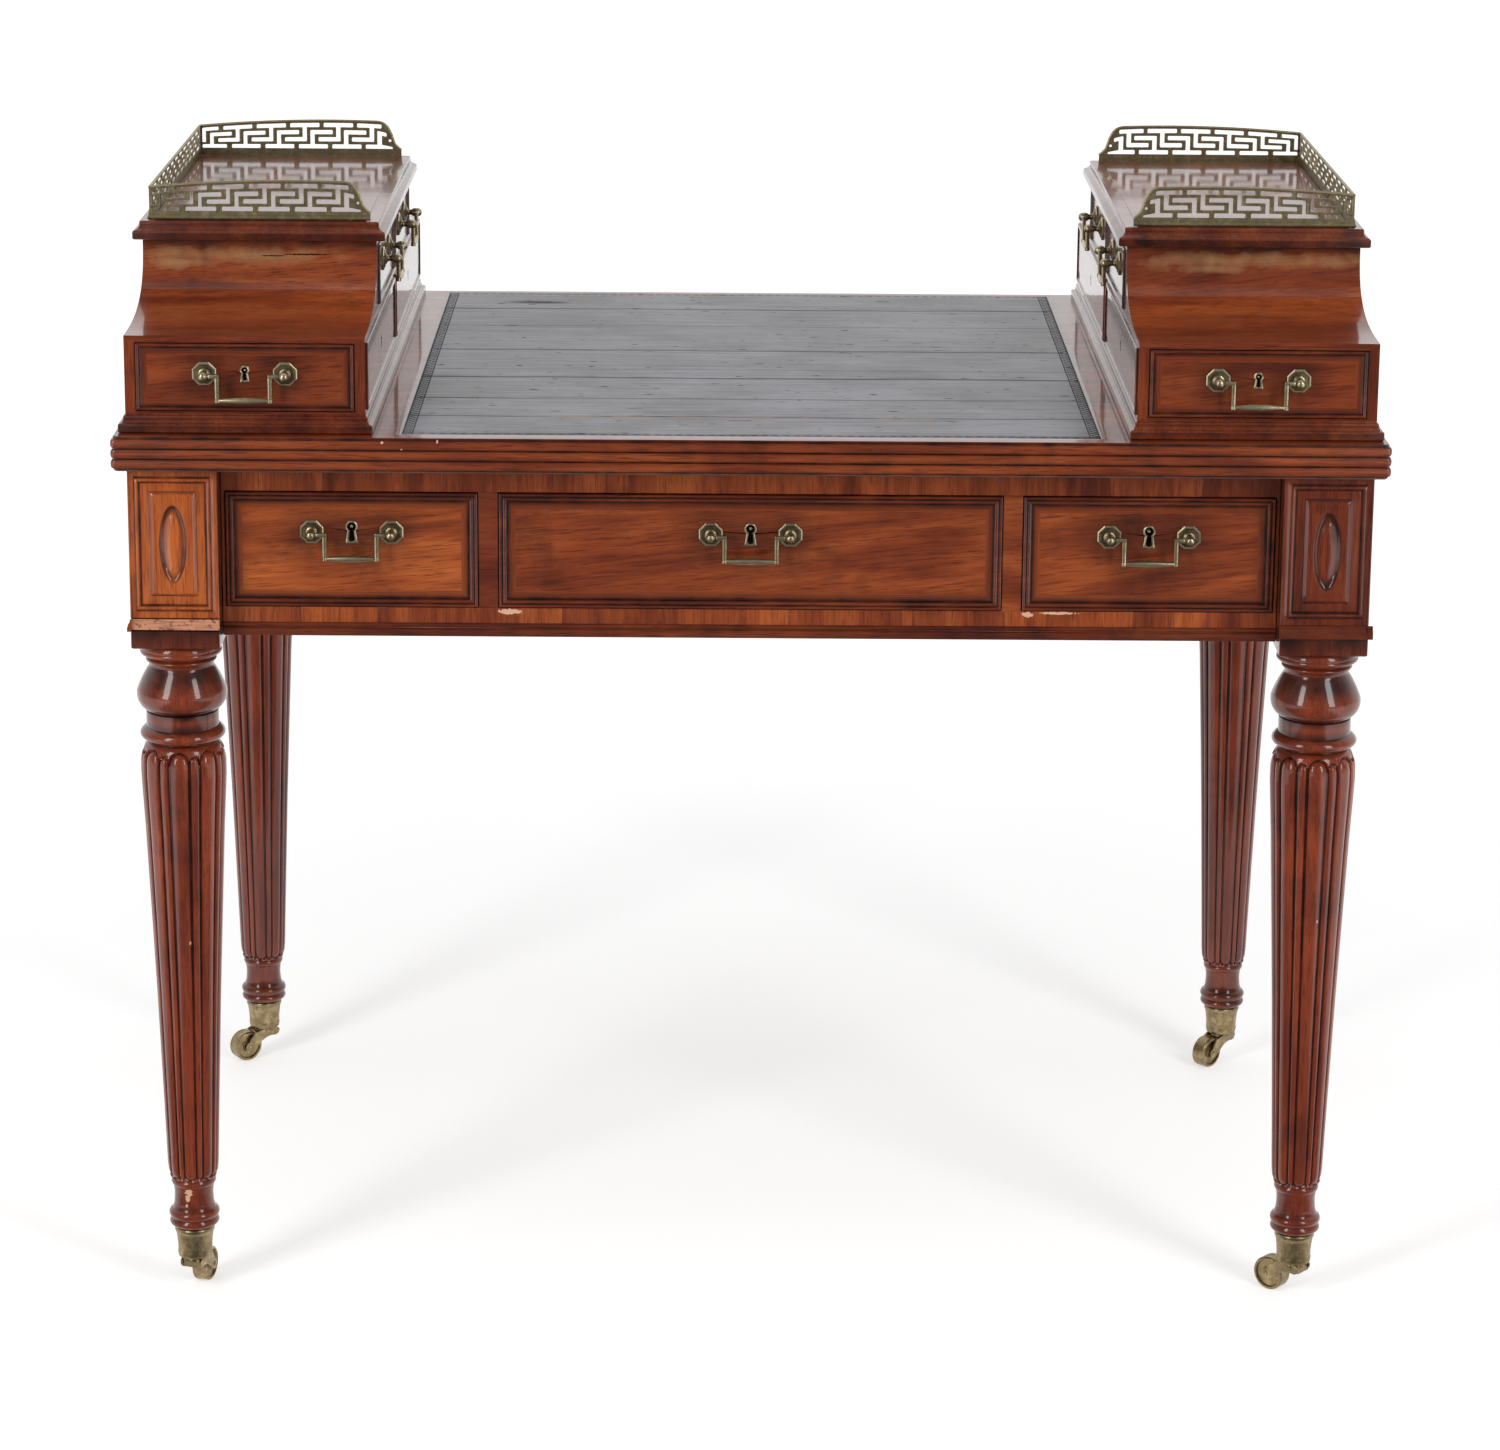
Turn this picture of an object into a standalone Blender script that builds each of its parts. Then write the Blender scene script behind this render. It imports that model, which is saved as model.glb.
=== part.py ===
"""A mahogany writing desk with a leather-lined top, two raised cases and turned, reeded legs on casters.

Three drawers lie in the frieze. Each case has a hollow-fronted upper stage, a pierced brass gallery,
one drawer at its front and two on its inner side. The origin is on the floor below the desk's middle,
the front faces -Y, +X runs along the length and +Z points up. Every length is in metres.
"""

import math

import bmesh
import bpy
from mathutils import Matrix, Vector

# Whole desk
DESK_LENGTH = 1.070
DESK_DEPTH = 0.700
WRITING_HEIGHT = 0.780
SEAT_GAP = 0.0003
CUT_OVERRUN = 0.002
ROUND_SIDES = 16

# Writing top and its leather
TOP_THICKNESS = 0.030
TOP_REEDS = 3
TOP_REED_PITCH = 0.0087
TOP_REED_DEPTH = 0.0022
# One reed's section, as (share of its pitch, share of its depth)
TOP_REED_SHARES = ((0.00, 1.00), (0.22, 0.25), (0.50, 0.00), (0.78, 0.25))
LEATHER_SIDE_MARGIN = 0.0298
LEATHER_FRONT_MARGIN = 0.019
LEATHER_BACK_MARGIN = 0.014
LEATHER_THICKNESS = 0.0015

# Leg blocks
BLOCK_WIDTH = 0.075
BLOCK_HEIGHT = 0.156
BLOCK_SETBACK = 0.012
PLINTH_HEIGHT = 0.016
PLINTH_MOULDING_HEIGHT = 0.011
PLINTH_MOULDING_PROJECTION = 0.003
PANEL_MARGIN = 0.0055
PANEL_BEAD_SLOPE = 0.002
PANEL_BEAD_RISE = 0.0015
PANEL_SINK = 0.0025
TABLET_MARGIN = 0.0095
TABLET_SLOPE = 0.001
TABLET_RISE = 0.003
OVAL_WIDTH = 0.023
OVAL_HEIGHT = 0.070
OVAL_DEPTH = 0.0025
OVAL_SIDES = 12

# Turned legs, as (drop down the turning, radius) in shares of its length and of its widest radius
LEG_RADIUS = 0.0367
TENON_RADIUS = 0.0122
TENON_LENGTH = 0.0150
NECK_SHARES = (
    (0.000, 0.900), (0.010, 0.951), (0.022, 0.880), (0.027, 0.763), (0.031, 0.826), (0.039, 0.755),
    (0.066, 0.940), (0.081, 1.044), (0.098, 1.000), (0.118, 0.785), (0.119, 0.847), (0.135, 0.847),
    (0.138, 0.930), (0.149, 0.997), (0.162, 0.930), (0.167, 0.779),
)
SHAFT_SHARES = ((0.171, 0.800), (0.183, 0.950), (0.220, 1.000), (0.600, 0.752), (0.888, 0.608), (0.906, 0.560))
FOOT_SHARES = (
    (0.909, 0.520), (0.921, 0.526), (0.930, 0.480), (0.952, 0.471), (0.978, 0.616), (0.984, 0.580),
    (0.990, 0.594), (1.000, 0.490),
)
REED_PAIRS = 8
REED_DEPTH = 0.0024
# One broad and one narrow reed, as (share of their common angle, share of the reed depth)
REED_SHARES = ((0.00, 0.0), (0.34, 1.0), (0.68, 0.0), (0.84, 0.7))

# Casters
CASTER_HEIGHT = 0.0597
CUP_HEIGHT = 0.0277
CUP_TOP_RADIUS = 0.0172
CUP_BOTTOM_RADIUS = 0.0148
SWIVEL_PIN_RADIUS = 0.0035
SWIVEL_PIN_LENGTH = 0.0095
RUNNING_GAP = 0.0005
WHEEL_RADIUS = 0.015
WHEEL_WIDTH = 0.014
WHEEL_TRAIL = 0.022
AXLE_RADIUS = 0.0020
RIVET_LENGTH = 0.0010
PIN_SIDES = 8
CHEEK_THICKNESS = 0.0020
CHEEK_HALF_HEIGHT = 0.0045
FORK_LIP_REACH = 0.012
FORK_CROWN_HEIGHT = 0.010
# Which way each wheel trails, in degrees from +X round +Z
TRAIL_ANGLES = {"front_left": 75.0, "front_right": 139.0, "back_left": 215.0, "back_right": 225.0}

# Frieze
FRIEZE_HEIGHT = 0.149
FRIEZE_RECESS = 0.026
FRIEZE_BEAD_HEIGHT = 0.011
FRIEZE_BEAD_PROJECTION = 0.004
FRIEZE_BEAD_SHARES = ((0.00, 0.60), (0.20, 1.00), (0.80, 1.00), (0.95, 0.60), (1.00, 0.00))
FRIEZE_LOWER_RAIL = 0.0253
FRIEZE_DRAWER_HEIGHT = 0.0992
DRAWER_BACK_SPACE = 0.0347
CENTRE_DRAWER_SHARE = 0.5
DIVIDER_WIDTH = 0.018
FRIEZE_END_STILE = 0.004
FRAME_BOARD = 0.007

# Cases
CASE_WIDTH = 0.201
CASE_SETBACK = 0.0112
CASE_FRONT_SETBACK = 0.020
CASE_LOWER_HEIGHT = 0.082
CASE_UPPER_HEIGHT = 0.058
CASE_UPPER_DEPTH = 0.384
CAVETTO_LEDGE = 0.004
CAVETTO_SHARPNESS = 2.8
CAVETTO_STEPS = 9
CASE_MOULDING_HEIGHT = 0.016
CASE_MOULDING_PROJECTION = 0.006
CASE_TOP_THICKNESS = 0.0164
CASE_TOP_OVERHANG = 0.008
CASE_BED_RISE = 0.0005
CASE_BED_CLEARANCE = 0.002
# Moulded edges, here and on the frieze's bead, as (share of height, share of projection) from the bottom up
CASE_MOULDING_SHARES = ((0.00, 1.00), (0.35, 1.00), (0.50, 0.80), (0.62, 0.30), (0.85, 0.25), (1.00, 0.00))
CASE_TOP_SHARES = ((0.00, 0.55), (0.12, 0.95), (0.35, 1.00), (0.55, 0.80), (0.62, 0.55), (0.90, 0.30),
                   (1.00, 0.10))
CASE_DRAWER_WIDTH = 0.182
CASE_DRAWER_HEIGHT = 0.0571
CASE_DRAWER_RISE = 0.0186
CASE_DRAWER_DEPTH = 0.320
INNER_DRAWER_WIDTH = 0.175
INNER_DRAWER_HEIGHT = 0.0524
INNER_DRAWER_DEPTH = 0.165
INNER_DRAWER_RISE = 0.0004
INNER_DIVIDER = 0.010
BLIND_PANEL_WIDTH = 0.314
BLIND_PANEL_DIVIDER = 0.016
BLIND_PANEL_PROUD = 0.002
BLIND_PANEL_ROOT = 0.004
BLIND_PANEL_BEAD = 0.0025

# Drawers
DRAWER_GAP = 0.0008
DRAWER_FRONT = 0.018
DRAWER_WALL = 0.008
DRAWER_BOTTOM = 0.006
DRAWER_PROUD = 0.002
DRAWER_BEAD_WIDTH = 0.0035
DRAWER_BEAD_SLOPE = 0.001
DRAWER_FIELD_SINK = 0.0022
KEYHOLE_WIDTH = 0.003
KEYHOLE_HEIGHT = 0.010
KEYHOLE_DEPTH = 0.009

# Handles
POST_SPACING = 0.0675
ROSE_ACROSS = 0.020
ROSE_THICKNESS = 0.0042
ROSE_STEP = 0.0026
ROSE_STEP_SHARE = 0.72
ROSE_SIDES = 8
NECK_RADIUS = 0.0028
BALL_RADIUS = 0.0045
BALL_STANDOFF = 0.013
BALL_SIDES = 8
# The ball, as (height from its middle, radius) in shares of its radius; the neck meets it at the first height
BALL_NECK_SHARE = -0.8
BALL_SHARES = ((-0.4, 1.0), (0.4, 1.0), (0.9, 0.5))
BAIL_PIN_RADIUS = 0.0012
BAIL_PIN_DEPTH = 0.0025
BAIL_PIN_GAP = 0.0004
BAIL_ARM_SPACING = 0.044
BAIL_DROP = 0.0205
BAIL_SHOULDER_RADIUS = 0.0018
BAIL_ARM_RADIUS = 0.0017
BAIL_BAR_RADIUS = 0.0023
BAIL_QUARTER_SHARE = 0.92
BAIL_SIDES = 6
FRIEZE_HANDLE_RISE = 0.0151
CASE_HANDLE_RISE = 0.0030
INNER_HANDLE_RISE = 0.0050

# Galleries
GALLERY_HEIGHT = 0.0346
GALLERY_INSET = 0.0135
GALLERY_THICKNESS = 0.0016
GALLERY_RAIL = 0.0035
GALLERY_BASE = 0.0075
GALLERY_CORNER_SHARE = 0.835
GALLERY_CREST_SHARE = 0.65
GALLERY_TOP_SHARES = (0.22, 0.44, 0.65, 0.80)
# Its inner ends ramp down, as (share of the run's length, share of the gallery's height)
GALLERY_END_SHARES = ((0.900, 0.957), (0.937, 0.810), (0.955, 0.500), (0.975, 0.310), (1.000, 0.200))
FRET_PITCH = 0.0318
FRET_COLUMNS = 10
FRET_ROWS = 7
FRET_PHASE_SHARE = 0.07
# A run's holes stop at these shares of its length, by the row where they start to apply
FRET_END_SHARES = ((6, 0.900), (2, 0.925), (0, 0.955))
# The two interlocking holes of the key fret, in columns and rows of its grid
HANGING_KEY = (
    (-3.7, 7), (4.9, 7), (4.9, 6), (1.1, 6), (1.1, 2), (-5.3, 2), (-5.3, 3), (0.0, 3), (0.0, 6), (-3.7, 6),
)
STANDING_KEY = (
    (-1.2, 0), (7.3, 0), (7.3, 1), (3.4, 1), (3.4, 4), (8.8, 4), (8.8, 5), (2.3, 5), (2.3, 1), (-1.2, 1),
)

# Derived heights and places
TOP_UNDERSIDE = WRITING_HEIGHT - TOP_THICKNESS
BLOCK_TOP = TOP_UNDERSIDE - SEAT_GAP
BLOCK_BOTTOM = TOP_UNDERSIDE - BLOCK_HEIGHT
ANKLE_HEIGHT = CASTER_HEIGHT + SEAT_GAP
LEG_TURNING = BLOCK_BOTTOM - ANKLE_HEIGHT
LEG_X = DESK_LENGTH / 2 - BLOCK_SETBACK - BLOCK_WIDTH / 2
LEG_Y = DESK_DEPTH / 2 - BLOCK_SETBACK - BLOCK_WIDTH / 2
FRIEZE_X = DESK_LENGTH / 2 - BLOCK_SETBACK - FRIEZE_RECESS
FRIEZE_Y = DESK_DEPTH / 2 - BLOCK_SETBACK - FRIEZE_RECESS
NOTCH_X = LEG_X - BLOCK_WIDTH / 2 - SEAT_GAP
NOTCH_Y = LEG_Y - BLOCK_WIDTH / 2 - SEAT_GAP
FRIEZE_DRAWER_DEPTH = FRIEZE_Y + NOTCH_Y - DRAWER_BACK_SPACE
FRIEZE_BOTTOM = TOP_UNDERSIDE - FRIEZE_HEIGHT
FRIEZE_DRAWER_BOTTOM = FRIEZE_BOTTOM + FRIEZE_LOWER_RAIL
FRIEZE_DRAWER_Z = FRIEZE_DRAWER_BOTTOM + FRIEZE_DRAWER_HEIGHT / 2
DRAWER_RUN = 2 * (LEG_X - BLOCK_WIDTH / 2 - FRIEZE_END_STILE - DIVIDER_WIDTH)
CENTRE_DRAWER_WIDTH = CENTRE_DRAWER_SHARE * DRAWER_RUN
SIDE_DRAWER_WIDTH = (DRAWER_RUN - CENTRE_DRAWER_WIDTH) / 2
SIDE_DRAWER_X = CENTRE_DRAWER_WIDTH / 2 + DIVIDER_WIDTH + SIDE_DRAWER_WIDTH / 2
CASE_X = DESK_LENGTH / 2 - CASE_SETBACK - CASE_WIDTH / 2
CASE_INNER_X = CASE_X - CASE_WIDTH / 2
LEATHER_LENGTH = 2 * (CASE_INNER_X - LEATHER_SIDE_MARGIN)
CASE_HALF_DEPTH = DESK_DEPTH / 2 - CASE_FRONT_SETBACK
CASE_BOTTOM = WRITING_HEIGHT + SEAT_GAP
CASE_LEDGE = WRITING_HEIGHT + CASE_LOWER_HEIGHT
CASE_SHOULDER = CASE_LEDGE + CASE_UPPER_HEIGHT
CASE_TOP = CASE_SHOULDER + CASE_TOP_THICKNESS
CASE_DRAWER_Z = WRITING_HEIGHT + CASE_DRAWER_RISE + CASE_DRAWER_HEIGHT / 2
INNER_DRAWER_Z = CASE_LEDGE + INNER_DRAWER_RISE + INNER_DRAWER_HEIGHT / 2
INNER_DRAWER_Y = INNER_DIVIDER / 2 + INNER_DRAWER_WIDTH / 2
BLIND_PANEL_Y = BLIND_PANEL_DIVIDER / 2 + BLIND_PANEL_WIDTH / 2
CUP_BOTTOM = CASTER_HEIGHT - CUP_HEIGHT
SOCKET_FLOOR = CASTER_HEIGHT - TENON_LENGTH
FORK_TOP = CUP_BOTTOM - SEAT_GAP
FIELD_PLANE = DRAWER_FIELD_SINK - DRAWER_PROUD
GALLERY_OUTER = CASE_WIDTH / 2 + CASE_TOP_OVERHANG - GALLERY_INSET
GALLERY_FRONT = CASE_UPPER_DEPTH / 2 + CASE_TOP_OVERHANG - GALLERY_INSET

# Finishes, as (base colour, roughness, metallic)
FINISHES = {
    "mahogany": ((0.23, 0.060, 0.022, 1.0), 0.28, 0.0),
    "dark_mahogany": ((0.13, 0.033, 0.015, 1.0), 0.30, 0.0),
    "leather": ((0.035, 0.045, 0.050, 1.0), 0.45, 0.0),
    "brass": ((0.42, 0.32, 0.15, 1.0), 0.35, 1.0),
}


def clear_scene():
    """Removes every object that the file holds."""
    for old in list(bpy.data.objects):
        bpy.data.objects.remove(old, do_unlink=True)


def finish_for(node, finish):
    """The node's own material, in one of the desk's finishes."""
    colour, roughness, metallic = FINISHES[finish]
    material = bpy.data.materials.new(f"{node}_{finish}")
    material.use_nodes = True
    shader = material.node_tree.nodes["Principled BSDF"]
    shader.inputs["Base Color"].default_value = colour
    shader.inputs["Roughness"].default_value = roughness
    shader.inputs["Metallic"].default_value = metallic
    return material


def add_object(name, bm, finish=None, smooth=False):
    """Makes an object of a closed bmesh and frees it; without a finish it is a hidden cutter."""
    bmesh.ops.recalc_face_normals(bm, faces=bm.faces)
    if bm.calc_volume(signed=True) < 0:
        bmesh.ops.reverse_faces(bm, faces=bm.faces)
    mesh = bpy.data.meshes.new(name)
    bm.to_mesh(mesh)
    bm.free()
    thing = bpy.data.objects.new(name, mesh)
    bpy.context.scene.collection.objects.link(thing)
    if finish:
        mesh.materials.append(finish_for(name, finish))
    else:
        thing.hide_render = True
        thing.display_type = "WIRE"
    if smooth:
        mesh.shade_smooth()
        mesh.set_sharp_from_angle(angle=math.radians(35))
    return thing


def combine(target, tool_bm, operation, label):
    """Cuts from, or unites with, the target the closed shapes of a bmesh."""
    tool = add_object(f"{target.name}_{label}", tool_bm)
    tool.parent = target
    modifier = target.modifiers.new(label, "BOOLEAN")
    modifier.operation = operation
    modifier.solver = "EXACT"
    modifier.object = tool
    return tool


def add_box(bm, low, high):
    """Adds an upright box between two corners."""
    low, high = Vector(low), Vector(high)
    place = Matrix.Translation((low + high) / 2) @ Matrix.Diagonal((*(high - low), 1.0))
    return bmesh.ops.create_cube(bm, size=1.0, matrix=place)["verts"]


def circle(radius, z, sides=ROUND_SIDES, start=math.pi / 4):
    """The points of a level circle round Z; the first lies at the start angle."""
    turns = [start + 2 * math.pi * i / sides for i in range(sides)]
    return [Vector((radius * math.cos(a), radius * math.sin(a), z)) for a in turns]


def rectangle(half_x, half_y, z):
    """The corners of a level rectangle, starting from the one at +X and +Y."""
    return [Vector((sx * half_x, sy * half_y, z)) for sx, sy in ((1, 1), (-1, 1), (-1, -1), (1, -1))]


def stitch(bm, lower, upper):
    """Joins two closed rings of vertices, which may differ in count, with triangles and quads."""
    n, m = len(lower), len(upper)
    if n == m:
        for i in range(n):
            bm.faces.new((lower[i], lower[(i + 1) % n], upper[(i + 1) % n], upper[i]))
        return
    i = j = 0
    while i < n or j < m:
        step_lower = i < n and (j == m or abs((i + 1) / n - j / m) <= abs(i / n - (j + 1) / m))
        if step_lower:
            bm.faces.new((lower[i % n], lower[(i + 1) % n], upper[j % m]))
            i += 1
        else:
            bm.faces.new((lower[i % n], upper[(j + 1) % m], upper[j % m]))
            j += 1


def add_loft(bm, rings, closed=False):
    """Adds a solid through rings of points; a closed one joins its last ring to its first."""
    loops = [[bm.verts.new(p) for p in ring] for ring in rings]
    for lower, upper in zip(loops, loops[1:]):
        stitch(bm, lower, upper)
    if closed:
        stitch(bm, loops[-1], loops[0])
    else:
        bm.faces.new(loops[0])
        bm.faces.new(loops[-1])
    return loops


def face_towards(bm, direction):
    """The face that looks one way and lies furthest out that way."""
    direction = Vector(direction)
    bm.normal_update()
    facing = [f for f in bm.faces if f.normal.dot(direction) > 0.99]
    reach = max(f.calc_center_median().dot(direction) for f in facing)
    level = [f for f in facing if abs(f.calc_center_median().dot(direction) - reach) < SEAT_GAP]
    return max(level, key=lambda f: f.calc_area())


def step_face(bm, face, steps):
    """Insets a face by each (width, rise) in turn, so that a moulding runs round it."""
    for width, rise in steps:
        bmesh.ops.inset_individual(bm, faces=[face], thickness=width, depth=rise, use_even_offset=True)


def mirror_bmesh(bm, sx, sy):
    """Mirrors a bmesh in X, in Y or in both."""
    bmesh.ops.transform(bm, matrix=Matrix.Diagonal((sx, sy, 1.0, 1.0)), verts=bm.verts)


def build_writing_top():
    """The slab, with three reeds along its edge and a sunk bed for the leather."""
    bm = bmesh.new()
    flat = (TOP_THICKNESS - TOP_REEDS * TOP_REED_PITCH) / 2
    levels = [(0.0, TOP_REED_DEPTH)]
    for reed in range(TOP_REEDS):
        for share, sink in TOP_REED_SHARES:
            levels.append((flat + (reed + share) * TOP_REED_PITCH, sink * TOP_REED_DEPTH))
    levels += [(TOP_THICKNESS - flat, TOP_REED_DEPTH), (TOP_THICKNESS, TOP_REED_DEPTH)]
    rings = [rectangle(DESK_LENGTH / 2 - sink, DESK_DEPTH / 2 - sink, TOP_UNDERSIDE + z) for z, sink in levels]
    add_loft(bm, rings)
    top = add_object("writing_top", bm, "mahogany")
    bed = bmesh.new()
    low, high = leather_corners()
    add_box(bed, (low.x - SEAT_GAP, low.y - SEAT_GAP, low.z - SEAT_GAP),
            (high.x + SEAT_GAP, high.y + SEAT_GAP, high.z + CUT_OVERRUN))
    combine(top, bed, "DIFFERENCE", "leather_bed")


def leather_corners():
    """The low and high corners of the leather sheet."""
    low = Vector((-LEATHER_LENGTH / 2, LEATHER_FRONT_MARGIN - DESK_DEPTH / 2,
                  WRITING_HEIGHT - LEATHER_THICKNESS))
    high = Vector((LEATHER_LENGTH / 2, DESK_DEPTH / 2 - LEATHER_BACK_MARGIN, WRITING_HEIGHT))
    return low, high


def build_leather():
    """The leather writing surface, flush in its bed."""
    bm = bmesh.new()
    add_box(bm, *leather_corners())
    add_object("leather_inset", bm, "leather")


def build_frieze_frame():
    """Rails, dividers, aprons and boards of the frieze, open for three drawers and notched for the legs."""
    bm = bmesh.new()
    rings = []
    for height, reach in FRIEZE_BEAD_SHARES:
        out = reach * FRIEZE_BEAD_PROJECTION
        rings.append(rectangle(FRIEZE_X + out, FRIEZE_Y + out, FRIEZE_BOTTOM + height * FRIEZE_BEAD_HEIGHT))
    rings.append(rectangle(FRIEZE_X, FRIEZE_Y, BLOCK_TOP))
    add_loft(bm, rings)
    frame = add_object("frieze_frame", bm, "mahogany")
    cuts = bmesh.new()
    low_z = FRIEZE_DRAWER_BOTTOM - DRAWER_GAP
    high_z = low_z + FRIEZE_DRAWER_HEIGHT + 2 * DRAWER_GAP
    outside_y = FRIEZE_Y + FRIEZE_BEAD_PROJECTION + CUT_OVERRUN
    outside_x = FRIEZE_X + FRIEZE_BEAD_PROJECTION + CUT_OVERRUN
    for x, width in ((-SIDE_DRAWER_X, SIDE_DRAWER_WIDTH), (0.0, CENTRE_DRAWER_WIDTH),
                     (SIDE_DRAWER_X, SIDE_DRAWER_WIDTH)):
        half = width / 2 + DRAWER_GAP
        add_box(cuts, (x - half, -outside_y, low_z), (x + half, NOTCH_Y, high_z))
    for sx in (-1, 1):
        for sy in (-1, 1):
            xs, ys = sorted((sx * NOTCH_X, sx * outside_x)), sorted((sy * NOTCH_Y, sy * outside_y))
            add_box(cuts, (xs[0], ys[0], FRIEZE_BOTTOM - CUT_OVERRUN),
                    (xs[1], ys[1], BLOCK_TOP + CUT_OVERRUN))
    hollow_x = SIDE_DRAWER_X + SIDE_DRAWER_WIDTH / 2 + DRAWER_GAP
    add_box(cuts, (-hollow_x, -NOTCH_Y, high_z + FRAME_BOARD), (hollow_x, NOTCH_Y, BLOCK_TOP + CUT_OVERRUN))
    add_box(cuts, (-hollow_x, -NOTCH_Y, FRIEZE_BOTTOM - CUT_OVERRUN), (hollow_x, NOTCH_Y, low_z - FRAME_BOARD))
    combine(frame, cuts, "DIFFERENCE", "drawer_openings")


def reeded_ring(radius, z):
    """A level ring of alternating broad and narrow reeds."""
    points = []
    for pair in range(REED_PAIRS):
        for turn, height in REED_SHARES:
            angle = math.pi / 4 + 2 * math.pi * (pair + turn) / REED_PAIRS
            r = radius - REED_DEPTH * (1 - height) * radius / LEG_RADIUS
            points.append(Vector((r * math.cos(angle), r * math.sin(angle), z)))
    return points


def leg_rings():
    """Every ring of a leg round its own axis, from the tenon's end up to the top of its block."""
    rings = [circle(TENON_RADIUS, ANKLE_HEIGHT - TENON_LENGTH), circle(TENON_RADIUS, ANKLE_HEIGHT)]
    for shares, make in ((FOOT_SHARES, circle), (SHAFT_SHARES, reeded_ring), (NECK_SHARES, circle)):
        for drop, radius in reversed(shares):
            rings.append(make(radius * LEG_RADIUS, BLOCK_BOTTOM - drop * LEG_TURNING))
    half = BLOCK_WIDTH / 2
    ledge = BLOCK_BOTTOM + PLINTH_HEIGHT
    shelf = ledge + PLINTH_MOULDING_HEIGHT
    out = PLINTH_MOULDING_PROJECTION
    for z, reach in ((BLOCK_BOTTOM, 0.0), (ledge, 0.0), (ledge + out / 2, out), (ledge + 2 * out, out),
                     (shelf, 0.0), (BLOCK_TOP, 0.0)):
        rings.append([Vector((half, half, z)), Vector((-half - reach, half, z)),
                      Vector((-half - reach, -half - reach, z)), Vector((half, -half - reach, z))])
    return rings


def build_leg(place, sx, sy):
    """One leg: block, turning and tenon in one piece, panelled on its two outer faces."""
    bm = bmesh.new()
    add_loft(bm, leg_rings())
    bmesh.ops.recalc_face_normals(bm, faces=bm.faces)
    panel = ((PANEL_MARGIN, 0.0), (PANEL_BEAD_SLOPE, PANEL_BEAD_RISE), (PANEL_BEAD_SLOPE, -PANEL_SINK),
             (TABLET_MARGIN, 0.0), (TABLET_SLOPE, TABLET_RISE))
    shelf = BLOCK_BOTTOM + PLINTH_HEIGHT + PLINTH_MOULDING_HEIGHT
    cuts = bmesh.new()
    for direction in ((0.0, -1.0, 0.0), (-1.0, 0.0, 0.0)):
        out = Vector(direction)
        bm.normal_update()
        faces = [f for f in bm.faces if f.normal.dot(out) > 0.99 and f.calc_center_median().z > shelf]
        face = max(faces, key=lambda f: f.calc_area())
        step_face(bm, face, panel)
        middle = face.calc_center_median()
        turn = Matrix.Rotation(math.pi / 2, 4, "X" if out.y else "Y")
        wide = Matrix.Diagonal((OVAL_WIDTH / 2, OVAL_HEIGHT / 2, 1.0, 1.0))
        if out.x:
            wide = Matrix.Diagonal((OVAL_HEIGHT / 2, OVAL_WIDTH / 2, 1.0, 1.0))
        bmesh.ops.create_cone(cuts, cap_ends=True, segments=OVAL_SIDES, radius1=1.0, radius2=1.0,
                              depth=2 * OVAL_DEPTH, matrix=Matrix.Translation(middle) @ turn @ wide)
    mirror_bmesh(bm, -sx, -sy)
    mirror_bmesh(cuts, -sx, -sy)
    leg = add_object(f"leg_{place}", bm, "dark_mahogany", smooth=True)
    leg.location = (sx * LEG_X, sy * LEG_Y, 0.0)
    combine(leg, cuts, "DIFFERENCE", "ovals")


def build_caster_cup(place, x, y):
    """The brass cup on a leg's end: a socket for the tenon over a bore for the swivel pin."""
    bore = SWIVEL_PIN_RADIUS + RUNNING_GAP
    socket = TENON_RADIUS + SEAT_GAP
    outline = ((bore, CUP_BOTTOM), (CUP_BOTTOM_RADIUS, CUP_BOTTOM), (CUP_TOP_RADIUS, CASTER_HEIGHT),
               (socket, CASTER_HEIGHT), (socket, SOCKET_FLOOR), (bore, SOCKET_FLOOR))
    bm = bmesh.new()
    add_loft(bm, [circle(r, z) for r, z in outline], closed=True)
    cup = add_object(f"caster_cup_{place}", bm, "brass", smooth=True)
    cup.location = (x, y, 0.0)


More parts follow.
